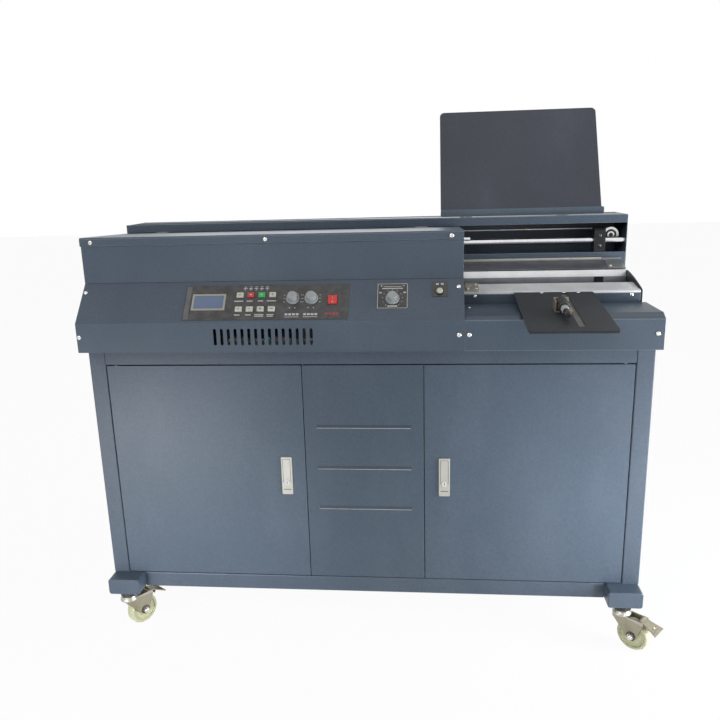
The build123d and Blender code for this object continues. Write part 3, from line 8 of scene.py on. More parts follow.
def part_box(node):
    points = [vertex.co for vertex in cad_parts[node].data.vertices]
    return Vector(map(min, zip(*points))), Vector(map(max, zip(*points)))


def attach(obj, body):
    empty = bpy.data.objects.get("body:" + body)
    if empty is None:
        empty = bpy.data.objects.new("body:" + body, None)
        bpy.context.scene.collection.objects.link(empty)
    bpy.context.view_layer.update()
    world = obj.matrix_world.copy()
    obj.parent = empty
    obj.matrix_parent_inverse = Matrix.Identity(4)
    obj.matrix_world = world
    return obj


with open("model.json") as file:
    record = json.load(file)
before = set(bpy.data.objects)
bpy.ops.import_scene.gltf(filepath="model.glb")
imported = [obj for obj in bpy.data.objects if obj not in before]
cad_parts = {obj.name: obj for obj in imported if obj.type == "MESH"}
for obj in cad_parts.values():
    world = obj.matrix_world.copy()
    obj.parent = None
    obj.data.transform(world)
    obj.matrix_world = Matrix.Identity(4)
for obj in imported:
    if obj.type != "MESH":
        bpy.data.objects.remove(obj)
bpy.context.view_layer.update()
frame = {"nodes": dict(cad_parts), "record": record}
cad = frame["nodes"]

# Studio: a pale floor, soft lamps and a white surround, seen from the height of a person standing
# before the machine. The lamps hang low in front, so upright faces are lit more than sloping ones.
scene = bpy.context.scene
scene.view_settings.view_transform = "Standard"

camera_place = Vector((0.152, -1.7401, 1.098))
camera_yaw, camera_pitch, camera_roll = -0.09822, 0.24531, 0.02796
sensor = 36.0
picture_width = 720.0
focal_pixels = 716.9


def aim(yaw, pitch, roll):
    """The camera's axes for a turn to the right, a tilt down and a roll, in radians."""
    forward = Vector((sin(yaw) * cos(pitch), cos(yaw) * cos(pitch), -sin(pitch)))
    level = Vector((cos(yaw), -sin(yaw), 0))
    down = forward.cross(level)
    right = cos(roll) * level + sin(roll) * down
    down = cos(roll) * down - sin(roll) * level
    return Matrix((right, -down, -forward)).transposed()


lens = bpy.data.cameras.new("camera")
lens.sensor_width = sensor
lens.lens = focal_pixels * sensor / picture_width
lens.clip_end = 60
shift = Matrix.Translation
camera = bpy.data.objects.new("camera", lens)
camera.matrix_world = shift(camera_place) @ aim(camera_yaw, camera_pitch, camera_roll).to_4x4()
scene.collection.objects.link(camera)
scene.camera = camera


def lamp(name, place, target, power, colour=(1, 1, 1), size=None, cone=None):
    """A soft square lamp, or a spot with a wide soft rim, faces its target; the camera doesn't see it."""
    data = bpy.data.lights.new(name, "SPOT" if cone else "AREA")
    if cone:
        data.spot_size = radians(cone)
        data.spot_blend = 1.0
        data.shadow_soft_size = 0.25
    else:
        data.shape = "SQUARE"
        data.size = size
    data.energy = power
    data.color = colour
    made = bpy.data.objects.new(name, data)
    made.location = place
    made.rotation_euler = (Vector(target) - Vector(place)).to_track_quat("-Z", "Y").to_euler()
    made.visible_camera = False
    scene.collection.objects.link(made)


cool_white = (0.94, 0.97, 1.0)
machine_middle = (0, 0, 0.7)
lamp("key_lamp", (-1.4, -2.4, 2.4), (-0.5, -0.2, 0.8), 25, (1.0, 0.99, 0.97), size=1.2)
lamp("side_lamp", (3.6, -0.8, 1.5), machine_middle, 80, cool_white, size=2.0)
lamp("back_lamp", (-0.6, 3.6, 2.8), machine_middle, 30, size=2.6)
lamp("top_lamp", (0.2, -0.2, 3.4), machine_middle, 6, size=2.0)
lamp("low_left_lamp", (-1.0, -1.05, 0.12), (-0.35, -0.15, 0.25), 4, cool_white, size=0.6)
lamp("low_right_lamp", (1.7, -0.55, 0.5), (0.66, -0.15, 0.4), 18, cool_white, size=0.5)
lamp("left_door_spot", (-0.9, -1.9, 0.15), (-0.4, -0.16, 0.12), 105, cool_white, cone=27)
lamp("right_door_spot", (1.6, -1.9, 0.35), (0.62, -0.16, 0.34), 190, cool_white, cone=21)


def new_tree(thing):
    """An empty node tree of a world or a material."""
    thing.use_nodes = True
    thing.node_tree.nodes.clear()
    return thing.node_tree


def feed(tree, value, socket):
    """A number, a colour or another node's output goes into a socket."""
    if isinstance(value, bpy.types.NodeSocket):
        tree.links.new(value, socket)
    else:
        socket.default_value = value


def calculate(tree, operation, first, second):
    """One sum on two numbers."""
    sum_node = tree.nodes.new("ShaderNodeMath")
    sum_node.operation = operation
    feed(tree, first, sum_node.inputs[0])
    feed(tree, second, sum_node.inputs[1])
    return sum_node.outputs[0]


def plain_shader(tree, kind, colour):
    """A shader of one colour."""
    shader = tree.nodes.new("ShaderNode" + kind)
    shader.inputs["Color"].default_value = (*colour, 1)
    return shader


def white_where_seen(tree, plain, white, out, share):
    """Rays from the camera, a mirror-like surface or glass meet white; all others meet the plain shader."""
    path = tree.nodes.new("ShaderNodeLightPath")
    seen = path.outputs["Is Camera Ray"]
    for ray in ("Is Glossy Ray", "Is Transmission Ray"):
        seen = calculate(tree, "MAXIMUM", seen, path.outputs[ray])
    mix = tree.nodes.new("ShaderNodeMixShader")
    seen = calculate(tree, "MULTIPLY", seen, share)
    for socket, value in zip(mix.inputs, (seen, plain.outputs[0], white.outputs[0])):
        tree.links.new(value, socket)
    tree.links.new(mix.outputs[0], tree.nodes.new(out).inputs["Surface"])


surround = bpy.data.worlds.new("surround")
scene.world = surround
sky = new_tree(surround)
daylight = plain_shader(sky, "Background", (0.93, 0.96, 1.0))
daylight.inputs["Strength"].default_value = 0.15
white_wall = plain_shader(sky, "Background", (1, 1, 1))
white_where_seen(sky, daylight, white_wall, "ShaderNodeOutputWorld", 1.0)

floor_finish = bpy.data.materials.new("studio_floor")
ground = new_tree(floor_finish)
matt_floor = plain_shader(ground, "BsdfDiffuse", (0.92, 0.92, 0.92))
floor_glow = plain_shader(ground, "Emission", (1, 1, 1))
white_where_seen(ground, matt_floor, floor_glow, "ShaderNodeOutputMaterial", 0.95)


def deselect():
    """Nothing is selected in object mode."""
    for thing in bpy.context.selected_objects:
        thing.select_set(False)


def begin(name, add, **settings):
    """A primitive is added on its own, as the start of a piece."""
    deselect()
    add(**settings)
    piece = bpy.context.object
    piece.name = name
    piece.data.name = name
    return piece


studio_floor = begin("studio_floor", bpy.ops.mesh.primitive_plane_add, size=30, location=(0, 0, -0.0005))
studio_floor.data.materials.append(floor_finish)

# Stand: two foot beams, four posts and six rails of box tube, welded and powder coated dark blue-grey.
# Sheet panels of the same coat close its sides and back; sheared edges are a little rubbed, and their lighter
# edge paint is partly a painted highlight.


def surface_group(name, *more_inputs):
    """An empty node group of a surface, its two ends, and the place of a point on the piece it colours."""
    group = bpy.data.node_groups.new(name, "ShaderNodeTree")
    inputs = (("Colour", "Color", (0.1, 0.1, 0.1, 1)), ("Roughness", "Float", 0.4), *more_inputs)
    for socket, kind, value in inputs:
        made = group.interface.new_socket(socket, in_out="INPUT", socket_type="NodeSocket" + kind)
        made.default_value = value
    for socket, kind in (("Colour", "Color"), ("Roughness", "Float"), ("Height", "Float")):
        group.interface.new_socket(socket, in_out="OUTPUT", socket_type="NodeSocket" + kind)
    point = group.nodes.new("ShaderNodeTexCoord").outputs["Object"]
    return group, group.nodes.new("NodeGroupInput"), group.nodes.new("NodeGroupOutput"), point


def noise(tree, coordinates, scale, detail=2.0, stretch=(1, 1, 1)):
    """Noise on the coordinates, finer along an axis by its factor in stretch."""
    mapping = tree.nodes.new("ShaderNodeMapping")
    feed(tree, stretch, mapping.inputs["Scale"])
    texture = tree.nodes.new("ShaderNodeTexNoise")
    texture.inputs["Detail"].default_value = detail
    feed(tree, scale, texture.inputs["Scale"])
    tree.links.new(coordinates, mapping.inputs["Vector"])
    tree.links.new(mapping.outputs["Vector"], texture.inputs["Vector"])
    return texture.outputs["Fac"]


def between(tree, value, low, high, new_low, new_high):
    """The value's range low to high spread over new_low to new_high."""
    spread = tree.nodes.new("ShaderNodeMapRange")
    tree.links.new(value, spread.inputs["Value"])
    for socket, number in (("From Min", low), ("From Max", high), ("To Min", new_low), ("To Max", new_high)):
        feed(tree, number, spread.inputs[socket])
    return spread.outputs["Result"]


def blend_colours(tree, factor, first, second, mode="MIX"):
    """Two colours mixed by a factor."""
    mix = tree.nodes.new("ShaderNodeMix")
    mix.data_type = "RGBA"
    mix.blend_type = mode
    for socket, value in (("Factor", factor), ("A", first), ("B", second)):
        feed(tree, value, next(s for s in mix.inputs if s.name == socket and s.enabled))
    return next(s for s in mix.outputs if s.enabled)


def give_out(tree, group_in, group_out, colour, change, height):
    """A group's colour and height go out, and the roughness given to it with a change over the surface."""
    rough = calculate(tree, "ADD", group_in.outputs["Roughness"], change)
    for socket, value in (("Colour", colour), ("Roughness", rough), ("Height", height)):
        feed(tree, value, group_out.inputs[socket])


# The coat's fine orange peel is about 2 mm across; faint wiped patches and dust are a hand wide.
powder_coat, coat_in, coat_out, place = surface_group("powder_coat")
patches = noise(powder_coat, place, 2.2, 5)
smears = noise(powder_coat, place, 7, 4, (1.0, 1.0, 0.35))
peel = noise(powder_coat, place, 520, 2)
mottle = noise(powder_coat, place, 240, 3)
dusty = between(powder_coat, patches, 0.4, 0.72, 0.0, 0.1)
dusty = blend_colours(powder_coat, dusty, coat_in.outputs["Colour"], (0.26, 0.31, 0.37, 1))
wiped = between(powder_coat, smears, 0.5, 0.75, 0.0, 0.07)
wiped = blend_colours(powder_coat, wiped, dusty, (0.3, 0.34, 0.4, 1))
pores = between(powder_coat, mottle, 0.3, 0.7, 0.22, 0.0)
pitted = blend_colours(powder_coat, pores, wiped, (0.012, 0.014, 0.02, 1))
patchy = between(powder_coat, smears, 0.3, 0.7, -0.05, 0.07)
give_out(powder_coat, coat_in, coat_out, pitted, patchy, peel)


def finish(name, colour, roughness, metallic=0.0, group=None, relief=0.0, depth=0.0002, extra=(),
           **shader_values):
    """A material of one shader, whose colour, roughness and relief come from a group of nodes."""
    material = bpy.data.materials.new(name)
    material.use_nodes = True
    material.diffuse_color = (*colour, 1)
    nodes, links = material.node_tree.nodes, material.node_tree.links
    shader = nodes["Principled BSDF"]
    shader.inputs["Base Color"].default_value = (*colour, 1)
    shader.inputs["Roughness"].default_value = roughness
    shader.inputs["Metallic"].default_value = metallic
    for socket, value in shader_values.items():
        shader.inputs[socket.replace("_", " ")].default_value = value
    if group:
        effect = nodes.new("ShaderNodeGroup")
        effect.node_tree = group
        effect.inputs["Colour"].default_value = (*colour, 1)
        effect.inputs["Roughness"].default_value = roughness
        for socket, value in extra:
            effect.inputs[socket].default_value = value
        links.new(effect.outputs["Colour"], shader.inputs["Base Color"])
        links.new(effect.outputs["Roughness"], shader.inputs["Roughness"])
        if relief:
            bump = nodes.new("ShaderNodeBump")
            bump.inputs["Strength"].default_value = relief
            bump.inputs["Distance"].default_value = depth
            links.new(effect.outputs["Height"], bump.inputs["Height"])
            links.new(bump.outputs["Normal"], shader.inputs["Normal"])
    return material


def paint(name, colour, roughness, relief=0.0, **others):
    """Powder coat."""
    return finish(name, colour, roughness, group=powder_coat, relief=relief, **others)


body_paint = paint("body_paint", (0.06, 0.088, 0.125), 0.4, 0.16)
stand_paint = paint("stand_paint", (0.066, 0.093, 0.132), 0.38, 0.16)
# The lighter paint on rounded folds and sheared edges is partly rubbed wear and partly a painted highlight along
# each edge.
worn_and_highlight_edge = paint("worn_and_highlight_edge", (0.22, 0.26, 0.31), 0.28, 0.1)


def dress(node, material, edge=0.0, smooth_below=35, rim=None, others=()):
    """A CAD node keeps its shape and takes its finish; others are (material, test of a face's centre)."""
    piece = cad[node]
    mesh = piece.data
    mesh.materials.clear()
    mesh.materials.append(material)
    indices = [0] * len(mesh.polygons)
    for number, (other, test) in enumerate(others, 1):
        mesh.materials.append(other)
        for face in mesh.polygons:
            if test(face.center, face.normal):
                indices[face.index] = number
    mesh.polygons.foreach_set("material_index", indices)
    mesh.polygons.foreach_set("use_smooth", [True] * len(mesh.polygons))
    weld = piece.modifiers.new("weld", "WELD")
    weld.merge_threshold = 0.00002
    if edge:
        flat = piece.modifiers.new("flat_faces", "DECIMATE")
        flat.decimate_type = "DISSOLVE"
        flat.angle_limit = radians(0.6)
        flat.delimit = {"MATERIAL"}
        round_edge = piece.modifiers.new("round_edge", "BEVEL")
        round_edge.width = edge
        round_edge.segments = 2
        round_edge.limit_method = "ANGLE"
        round_edge.angle_limit = radians(smooth_below)
        if rim:
            mesh.materials.append(rim)
            round_edge.material = len(mesh.materials) - 1
    else:
        split = piece.modifiers.new("split", "EDGE_SPLIT")
        split.split_angle = radians(smooth_below)
    even = piece.modifiers.new("even_shading", "WEIGHTED_NORMAL")
    even.keep_sharp = True


def inside(low, high):
    """A test for a face whose centre lies in a box."""
    return lambda centre, normal: all(low[k] <= centre[k] <= high[k] for k in range(3))


moulded_plastic, plastic_in, plastic_out, place = surface_group("moulded_plastic")
handled = noise(moulded_plastic, place, 60, 4)
spark = noise(moulded_plastic, place, 2600, 2)
clouded = between(moulded_plastic, handled, 0.35, 0.75, 0.0, 0.16)
clouded = blend_colours(moulded_plastic, clouded, plastic_in.outputs["Colour"], (0.35, 0.34, 0.32, 1))
worn = between(moulded_plastic, handled, 0.3, 0.7, -0.06, 0.08)
give_out(moulded_plastic, plastic_in, plastic_out, clouded, worn, spark)

drawn_metal, metal_in, metal_out, place = surface_group(
    "drawn_metal", ("Grain", "Vector", (1, 1, 1)), ("Tarnish", "Color", (0.3, 0.3, 0.3, 1)))
lines = noise(drawn_metal, place, 30, 4, metal_in.outputs["Grain"])
stains = noise(drawn_metal, place, 24, 5)
tarnished = between(drawn_metal, stains, 0.45, 0.75, 0.0, 0.35)
tarnished = blend_colours(drawn_metal, tarnished, metal_in.outputs["Colour"], metal_in.outputs["Tarnish"])
shadowed = between(drawn_metal, lines, 0.3, 0.7, 0.1, 0.0)
lined = blend_colours(drawn_metal, shadowed, tarnished, (0.1, 0.1, 0.1, 1))
dulled = between(drawn_metal, lines, 0.3, 0.7, -0.05, 0.09)
give_out(drawn_metal, metal_in, metal_out, lined, dulled, lines)

fine_x = (0.3, 40, 40)
fine_y = (40, 0.3, 40)
fine_z = (40, 40, 0.3)
all_ways = (14, 14, 14)


def plastic(name, colour, roughness, relief=0.0, **others):
    """Moulded plastic, printed film or print."""
    return finish(name, colour, roughness, group=moulded_plastic, relief=relief, **others)


def metal(name, colour, roughness, metallic, relief, grain, tarnish, **others):
    """Drawn, ground or plated metal."""
    extra = [("Grain", grain), ("Tarnish", (*tarnish, 1))]
    return finish(name, colour, roughness, metallic, drawn_metal, relief, extra=extra, **others)


black_plastic = plastic("black_plastic", (0.014, 0.014, 0.016), 0.38, 0.1, depth=0.0001)
brass = metal("brass", (0.62, 0.42, 0.13), 0.3, 1.0, 0.05, all_ways, (0.3, 0.19, 0.07))

dress("cabinet_frame", stand_paint, 0.0008, rim=worn_and_highlight_edge)
inlet_middle = Vector((-0.43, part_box("cabinet_panels")[1].y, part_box("cabinet_frame")[0].z + 0.1))
inlet_reach = Vector((0.032, 0.04, 0.019))
pin_reach = Vector((0.0085, 0.04, 0.006))
pin_face_depth = 0.0095
dress(
    "cabinet_panels", body_paint, 0.0004, rim=worn_and_highlight_edge,
    others=[
        (black_plastic, inside(inlet_middle - inlet_reach, inlet_middle + inlet_reach)),
        (brass, lambda centre, normal:
         inside(inlet_middle - pin_reach, inlet_middle + pin_reach)(centre, normal)
         and -0.0265 < centre.y - inlet_middle.y < -pin_face_depth - 0.0015 and abs(normal.y) < 0.5),
    ],
)

# Inner sheets: the floor, two partitions and the deck are plain galvanised sheet, cut and spot welded.
# Zinc spangle shows as pale and dark crystals a few millimetres across.
galvanised, zinc_in, zinc_out, place = surface_group("galvanised")
crystals = galvanised.nodes.new("ShaderNodeTexVoronoi")
crystals.inputs["Scale"].default_value = 95
galvanised.links.new(place, crystals.inputs["Vector"])
facet = galvanised.nodes.new("ShaderNodeSeparateColor")
galvanised.links.new(crystals.outputs["Color"], facet.inputs["Color"])
darker = between(galvanised, facet.outputs[0], 0, 1, 0.0, 0.4)
spangled = blend_colours(galvanised, darker, zinc_in.outputs["Colour"], (0.2, 0.21, 0.23, 1))
glint = between(galvanised, facet.outputs[1], 0, 1, -0.08, 0.1)
give_out(galvanised, zinc_in, zinc_out, spangled, glint, facet.outputs[2])
bare_sheet = finish("bare_sheet", (0.46, 0.47, 0.48), 0.42, 1.0, galvanised, 0.08)
dress("inner_panels", bare_sheet, 0.0004)

# Screws: pan heads with a cross recess, bright zinc plated, driven into the sheet seams.
# One head is turned and pressed here, then set wherever the machine has one.


def only(piece):
    """The piece alone is selected and active."""
    deselect()
    bpy.context.view_layer.objects.active = piece
    piece.select_set(True)


def pick(piece, test):
    """Edit mode, with only the faces selected whose centre and normal pass the test."""
    if bpy.context.object is not piece or piece.mode != "EDIT":
        only(piece)
        bpy.ops.object.mode_set(mode="EDIT")
    bpy.ops.mesh.select_mode(type="FACE")
    bpy.ops.mesh.select_all(action="DESELECT")
    faces = bmesh.from_edit_mesh(piece.data).faces
    for face in faces:
        face.select_set(test(face.calc_center_median(), face.normal))
    bmesh.update_edit_mesh(piece.data)


def done(piece, smooth_below=35):
    """Back to object mode, with the placing taken into the mesh and the shading smooth up to an angle."""
    if piece.mode == "EDIT":
        bpy.ops.object.mode_set(mode="OBJECT")
    only(piece)
    bpy.ops.object.transform_apply(location=True, rotation=True, scale=True)
    bpy.ops.object.shade_smooth_by_angle(angle=radians(smooth_below))
    return piece


def apply(piece, kind, **settings):
    """A modifier is added, set and applied."""
    only(piece)
    modifier = piece.modifiers.new(kind.lower(), kind)
    for setting, value in settings.items():
        setattr(modifier, setting, value)
    bpy.ops.object.modifier_apply(modifier=modifier.name)


def cut(piece, cutter):
    """A cutter is taken out of the piece and thrown away."""
    apply(piece, "BOOLEAN", object=cutter, operation="DIFFERENCE", solver="EXACT", use_self=True)
    bpy.data.objects.remove(cutter)


def facing(normal):
    """A turn that takes Z to the normal."""
    return Vector(normal).to_track_quat("Z", "Y").to_matrix().to_4x4()


def copy_to(piece, name, matrix):
    """A copy with a mesh of its own, moved in its mesh."""
    mesh = piece.data.copy()
    mesh.transform(matrix)
    mesh.name = name
    copied = bpy.data.objects.new(name, mesh)
    scene.collection.objects.link(copied)
    return copied


def join(name, pieces):
    """Several pieces become one."""
    only(pieces[0])
    for piece in pieces:
        piece.select_set(True)
    if len(pieces) > 1:
        bpy.ops.object.join()
    pieces[0].name = name
    pieces[0].data.name = name
    return pieces[0]


def fit(piece, material, body, matrix=None):
    """A finished piece, moved by a matrix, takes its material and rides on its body."""
    if matrix is not None:
        piece.data.transform(matrix)
    piece.data.materials.clear()
    piece.data.materials.append(material)
    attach(piece, body)
    return piece


def cube(name, size, place=(0, 0, 0), turn=0.0):
    """A block with sharp edges, turned about Z."""
    piece = begin(name, bpy.ops.mesh.primitive_cube_add, size=1, location=place)
    piece.scale = size
    piece.rotation_euler.z = turn
    return done(piece)


def soften(piece, width, segments=2):
    """All edges are rounded."""
    done(piece)
    apply(piece, "BEVEL", width=width, segments=segments, limit_method="NONE")
    return piece


def turned(name, sides, radius, height, low=0.0, top=None):
    """An upright cylinder, or a cone where its top has a radius of its own, standing at a height."""
    return begin(name, bpy.ops.mesh.primitive_cone_add, vertices=sides, radius1=radius,
                 radius2=radius if top is None else top, depth=height, location=(0, 0, low + height / 2))


def facing_along(axis, sign=1):
    """A test for faces that look along an axis, or along either way of it where the sign is 0."""
    return lambda centre, normal: (normal[axis] * sign if sign else abs(normal[axis])) > 0.95


def press(piece, test, thickness, depth=0.0, smooth_below=35):
    """Some faces are inset and moved in or out, and the piece is finished."""
    pick(piece, test)
    bpy.ops.mesh.inset(thickness=thickness, depth=depth)
    done(piece, smooth_below)


def crown(piece, steps, smooth_below):
    """The top is drawn in and lifted in steps, to a dome."""
    pick(piece, facing_along(2))
    for inset, lift in steps:
        bpy.ops.mesh.inset(thickness=inset)
        bpy.ops.transform.translate(value=(0, 0, lift))
    done(piece, smooth_below)


head_radius = 0.0047
head_rise = 0.0024
screw_head = turned("screw_head", 24, head_radius, head_rise / 2)
crown(screw_head, ((0.0009, 0.0007), (0.0012, 0.0003), (0.0013, 0.0001)), 50)
recess_size = (head_radius * 1.1, head_radius * 0.24, head_rise * 1.1)
recess = [cube("recess_bar", recess_size, (0, 0, head_rise), turn) for turn in (0, pi / 2)]
cut(screw_head, join("cross_recess", recess))
scene.collection.objects.unlink(screw_head)

bright_zinc = metal("bright_zinc", (0.72, 0.71, 0.67), 0.24, 1.0, 0.04, all_ways, (0.45, 0.42, 0.34))
dark_zinc = metal("dark_zinc", (0.1, 0.1, 0.11), 0.35, 1.0, 0.04, all_ways, (0.2, 0.2, 0.2))
screw_turns = 0


def screw(name, place, normal, body, size=1.0, material=None):
    """A screw head seated on a face, each turned a little further than the last."""
    global screw_turns
    screw_turns += 1
    matrix = shift(place) @ facing(normal) @ Matrix.Rotation(screw_turns * 0.7, 4, "Z")
    head = copy_to(screw_head, name, matrix @ Matrix.Scale(size, 4))
    return fit(head, material or bright_zinc, body)


def screws(name, spots, *settings):
    """Several alike, numbered from 1."""
    for number, spot in enumerate(spots, 1):
        screw(f"{name}_{number}", spot, *settings)


panels_low, panels_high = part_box("cabinet_panels")
seam_inset = 0.008
back_screw_pitch = 0.235
for index in range(6):
    for row, z in (("low", panels_low.z + seam_inset), ("high", panels_high.z - seam_inset)):
        spot = ((index - 2.5) * back_screw_pitch, panels_high.y - 0.0025, z)
        screw(f"back_screw_{index}_{row}", spot, (0, 1, 0), "stand", 0.9)

# Doors and centre panel: pressed trays of 1.5 mm sheet, powder coated like the stand.
# The centre one is screwed in and has three louvres; the doors turn on pins near their outer edges.
# The doors' coat is a lighter copy of the body coat: painted light that makes them look more brightly lit.
lit_door_paint = paint("lit_door_paint", (0.07, 0.1, 0.142), 0.36, 0.14)
for name in ("left_door", "right_door"):
    dress(name, lit_door_paint, 0.0007, rim=worn_and_highlight_edge)


def block(name, size, matrix, edge=0.0004, segments=2):
    """A block with rounded edges, its middle set by a matrix."""
    piece = soften(cube(name, size), edge, segments)
    piece.data.transform(matrix)
    return done(piece)


panel_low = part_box("centre_panel")[0]
# The louvres' slanted faces take a darker copy of the coat: painted shade on each louvre.
louvre_shade_paint = paint("louvre_shade_paint", (0.034, 0.048, 0.07), 0.42, 0.14)
dress("centre_panel", body_paint, 0.0007, rim=worn_and_highlight_edge,
      others=[(louvre_shade_paint, lambda centre, normal: normal.y < -0.8 and normal.z > 0.3)])
# Each louvre's lower lip is hemmed over and tapers out at its left end; its pale paint is a painted highlight
# along the lip
lip_highlight_paint = paint("lip_highlight_paint", (0.46, 0.5, 0.55), 0.28, 0.1)
louvre_first, louvre_pitch, louvre_length = 0.1825, 0.103, 0.222
lip_size = 0.0016
for index in range(3):
    lip_z = panel_low.z + louvre_first + index * louvre_pitch + 0.0002
    lip = block(f"louvre_lip_{index + 1}", (louvre_length, lip_size, lip_size),
                shift((0, panel_low.y + 0.0009, lip_z)), 0.0006)
    pick(lip, facing_along(0, -1))
    bpy.ops.mesh.extrude_region_move(TRANSFORM_OT_translate={"value": (-0.002, 0, 0)})
    bpy.ops.transform.resize(value=(1, 0.6, 0.6))
    done(lip)
    fit(lip, lip_highlight_paint, "stand")

# Latch plates and locks: die-cast and plated satin nickel, brushed along their length.
# Each has a pull paddle, and a lock cylinder that turns a cam behind the door.
satin_nickel = metal("satin_nickel", (0.56, 0.55, 0.5), 0.36, 0.5, 0.05, fine_z, (0.4, 0.37, 0.3))
# The grooves round each paddle and the key slot take a dark copy of the metal: painted shade in the recesses.
groove_shade_paint = metal("groove_shade_paint", (0.09, 0.085, 0.075), 0.5, 0.3, 0.05, fine_z, (0.2, 0.18, 0.15))
lock_chrome = metal("lock_chrome", (0.8, 0.8, 0.82), 0.16, 1.0, 0.03, all_ways, (0.55, 0.55, 0.55))
groove_margin = Vector((0.003, -0.0002, 0.003))
for side in ("left", "right"):
    low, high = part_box(side + "_handle")
    grooved = inside(low + groove_margin, Vector((high.x, low.y + 0.0016, high.z)) - groove_margin)
    dress(side + "_handle", satin_nickel, 0.0003,
          others=[(groove_shade_paint, lambda centre, normal: grooved(centre, normal) and centre.y > low.y + 0.0002)])
    low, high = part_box(side + "_lock")
    lock_x = (low.x + high.x) / 2
    dress(side + "_lock", lock_chrome, 0.0002,
          others=[(groove_shade_paint, lambda centre, normal: low.y + 0.0002 < centre.y < low.y + 0.0032
                   and abs(centre.x - lock_x) < 0.0012)])

# Casters: forks and pedals are pressed steel with a yellowish zinc plate; the wheels are cream nylon
# on a steel axle with a domed bright cap at each end. A ribbed black collar sits round each stem.
zinc_plate = metal("zinc_plate", (0.37, 0.34, 0.25), 0.34, 0.8, 0.12, (4, 4, 4), (0.13, 0.11, 0.06),
                   depth=0.0005)
cream_nylon = plastic("cream_nylon", (0.58, 0.575, 0.36), 0.36, 0.08,
                      Subsurface_Weight=0.15, Subsurface_Scale=0.004)
race_ring = metal("race_ring", (0.5, 0.49, 0.44), 0.3, 0.9, 0.04, all_ways, (0.24, 0.2, 0.12))
axle_dark = metal("axle_dark", (0.07, 0.065, 0.055), 0.42, 0.7, 0.05, all_ways, (0.16, 0.13, 0.08))
leg_outside = 0.0162
nut_bottom = 0.0925
caster_places = ("front_left", "front_right", "rear_left", "rear_right")
collar_radius, collar_height, collar_foot = 0.0195, 0.0105, 0.0937
brake_reach, brake_drop, tread_clearance = 0.0145, 0.0175, 0.006


def ribbed(name, low_radius, high_radius, height, ribs, rib_depth):
    """An upright grip with its foot at the origin: a cone whose every second side stands out as a rib."""
    grip = turned(name, 2 * ribs, low_radius, height, top=high_radius)
    pick(grip, lambda centre, normal: abs(normal.z) < 0.7
         and int((atan2(centre.y, centre.x) + pi) * ribs / pi) % 2)
    bpy.ops.mesh.inset(thickness=rib_depth / 4, depth=rib_depth, use_individual=True)
    pick(grip, facing_along(2))
    bpy.ops.mesh.inset(thickness=high_radius / 8)
    bpy.ops.transform.translate(value=(0, 0, height / 20))
    return done(grip, 30)


collar = ribbed("collar", collar_radius, collar_radius, collar_height, 14, 0.0009)
scene.collection.objects.unlink(collar)
joints = {joint["name"]: joint for joint in frame["record"]["behaviour"]["joints"]}
for place in caster_places:
    roll, swivel = joints[f"wheel_{place}_roll"], joints[f"swivel_{place}"]
    hub, roll_axis = Vector(roll["pos_m"]), Vector(roll["axis"])
    plate_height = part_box("fork_" + place)[1].z - 0.0115
    near_hub = [vertex.co for vertex in cad["fork_" + place].data.vertices if abs(vertex.co.z - hub.z) < 0.011]
    nut_outside = max(abs((corner - hub).dot(roll_axis)) for corner in near_hub)
    dress(
        "fork_" + place, zinc_plate,
        others=[
            (bright_zinc, lambda centre, normal: abs((centre - hub).dot(roll_axis)) > leg_outside),
            (race_ring, lambda centre, normal: centre.z > plate_height),
        ],
    )
    dress("wheel_" + place, cream_nylon, 0.0012)
    # A dark washer and a domed cap cover each end of the axle
    for side, mark in ((-1, "a"), (1, "b")):
        out_along = shift(hub) @ facing(side * roll_axis)
        washer = turned(f"axle_washer_{place}_{mark}", 32, 0.0112, 0.0014, leg_outside)
        press(washer, facing_along(2), 0.0012, 0.0006, 40)
        fit(washer, axle_dark, "fork_" + place, out_along)
        cap = turned(f"axle_cap_{place}_{mark}", 24, 0.0062, 0.0012, nut_outside)
        crown(cap, ((0.0012, 0.0012), (0.0016, 0.0007), (0.0018, 0.0003)), 60)
        fit(cap, bright_zinc, "fork_" + place, out_along)
    stem_x, stem_y = swivel["pos_m"][:2]
    fit(copy_to(collar, "collar_" + place, shift((stem_x, stem_y, collar_foot))), black_plastic, "stand")
    if "front" in place:
        dress("pedal_" + place, zinc_plate)
        # Brake screw with a rubber foot under the pedal, which meets the tread when the pedal is pressed
        pivot = Vector(joints[f"pedal_{place}_tip"]["pos_m"])
        outward = Vector((-roll_axis.y, roll_axis.x, 0)).normalized()
        if outward.dot(hub - Vector((stem_x, stem_y, hub.z))) < 0:
            outward.negate()
        foot = pivot + outward * brake_reach - Vector((0, 0, brake_drop))
        foot += (foot - hub).normalized() * tread_clearance
        thread = turned("thread", 20, 0.0022, 0.013)
        press(thread, facing_along(2, 0), 0.0005, 0.0004, 40)
        nut = soften(turned("brake_nut", 6, 0.0042, 0.0034, 0.0038), 0.0004)
        out_of_hub = shift(foot) @ facing(foot - hub)
        brake_screw = join("brake_screw_" + place, [thread, nut])
        fit(brake_screw, bright_zinc, "pedal_" + place, out_of_hub)
        rubber_foot = turned("brake_foot_" + place, 24, 0.0052, 0.005, -0.002, top=0.0042)
        press(rubber_foot, facing_along(2, 0), 0.001, 0.0005, 40)
        fit(rubber_foot, black_plastic, "pedal_" + place, out_of_hub)
dress(
    "caster_stems", bright_zinc, 0.0003,
    others=[(black_plastic, lambda centre, normal: nut_bottom < centre.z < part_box("caster_stems")[1].z - 0.04)],
)

# Console: two shells of folded 1.5 mm sheet, coated like the stand, with a soft fold along the ridge.
# Pan-head screws hold their ends; a row of slots in the fascia airs the terminals behind it.
fold = 0.0012
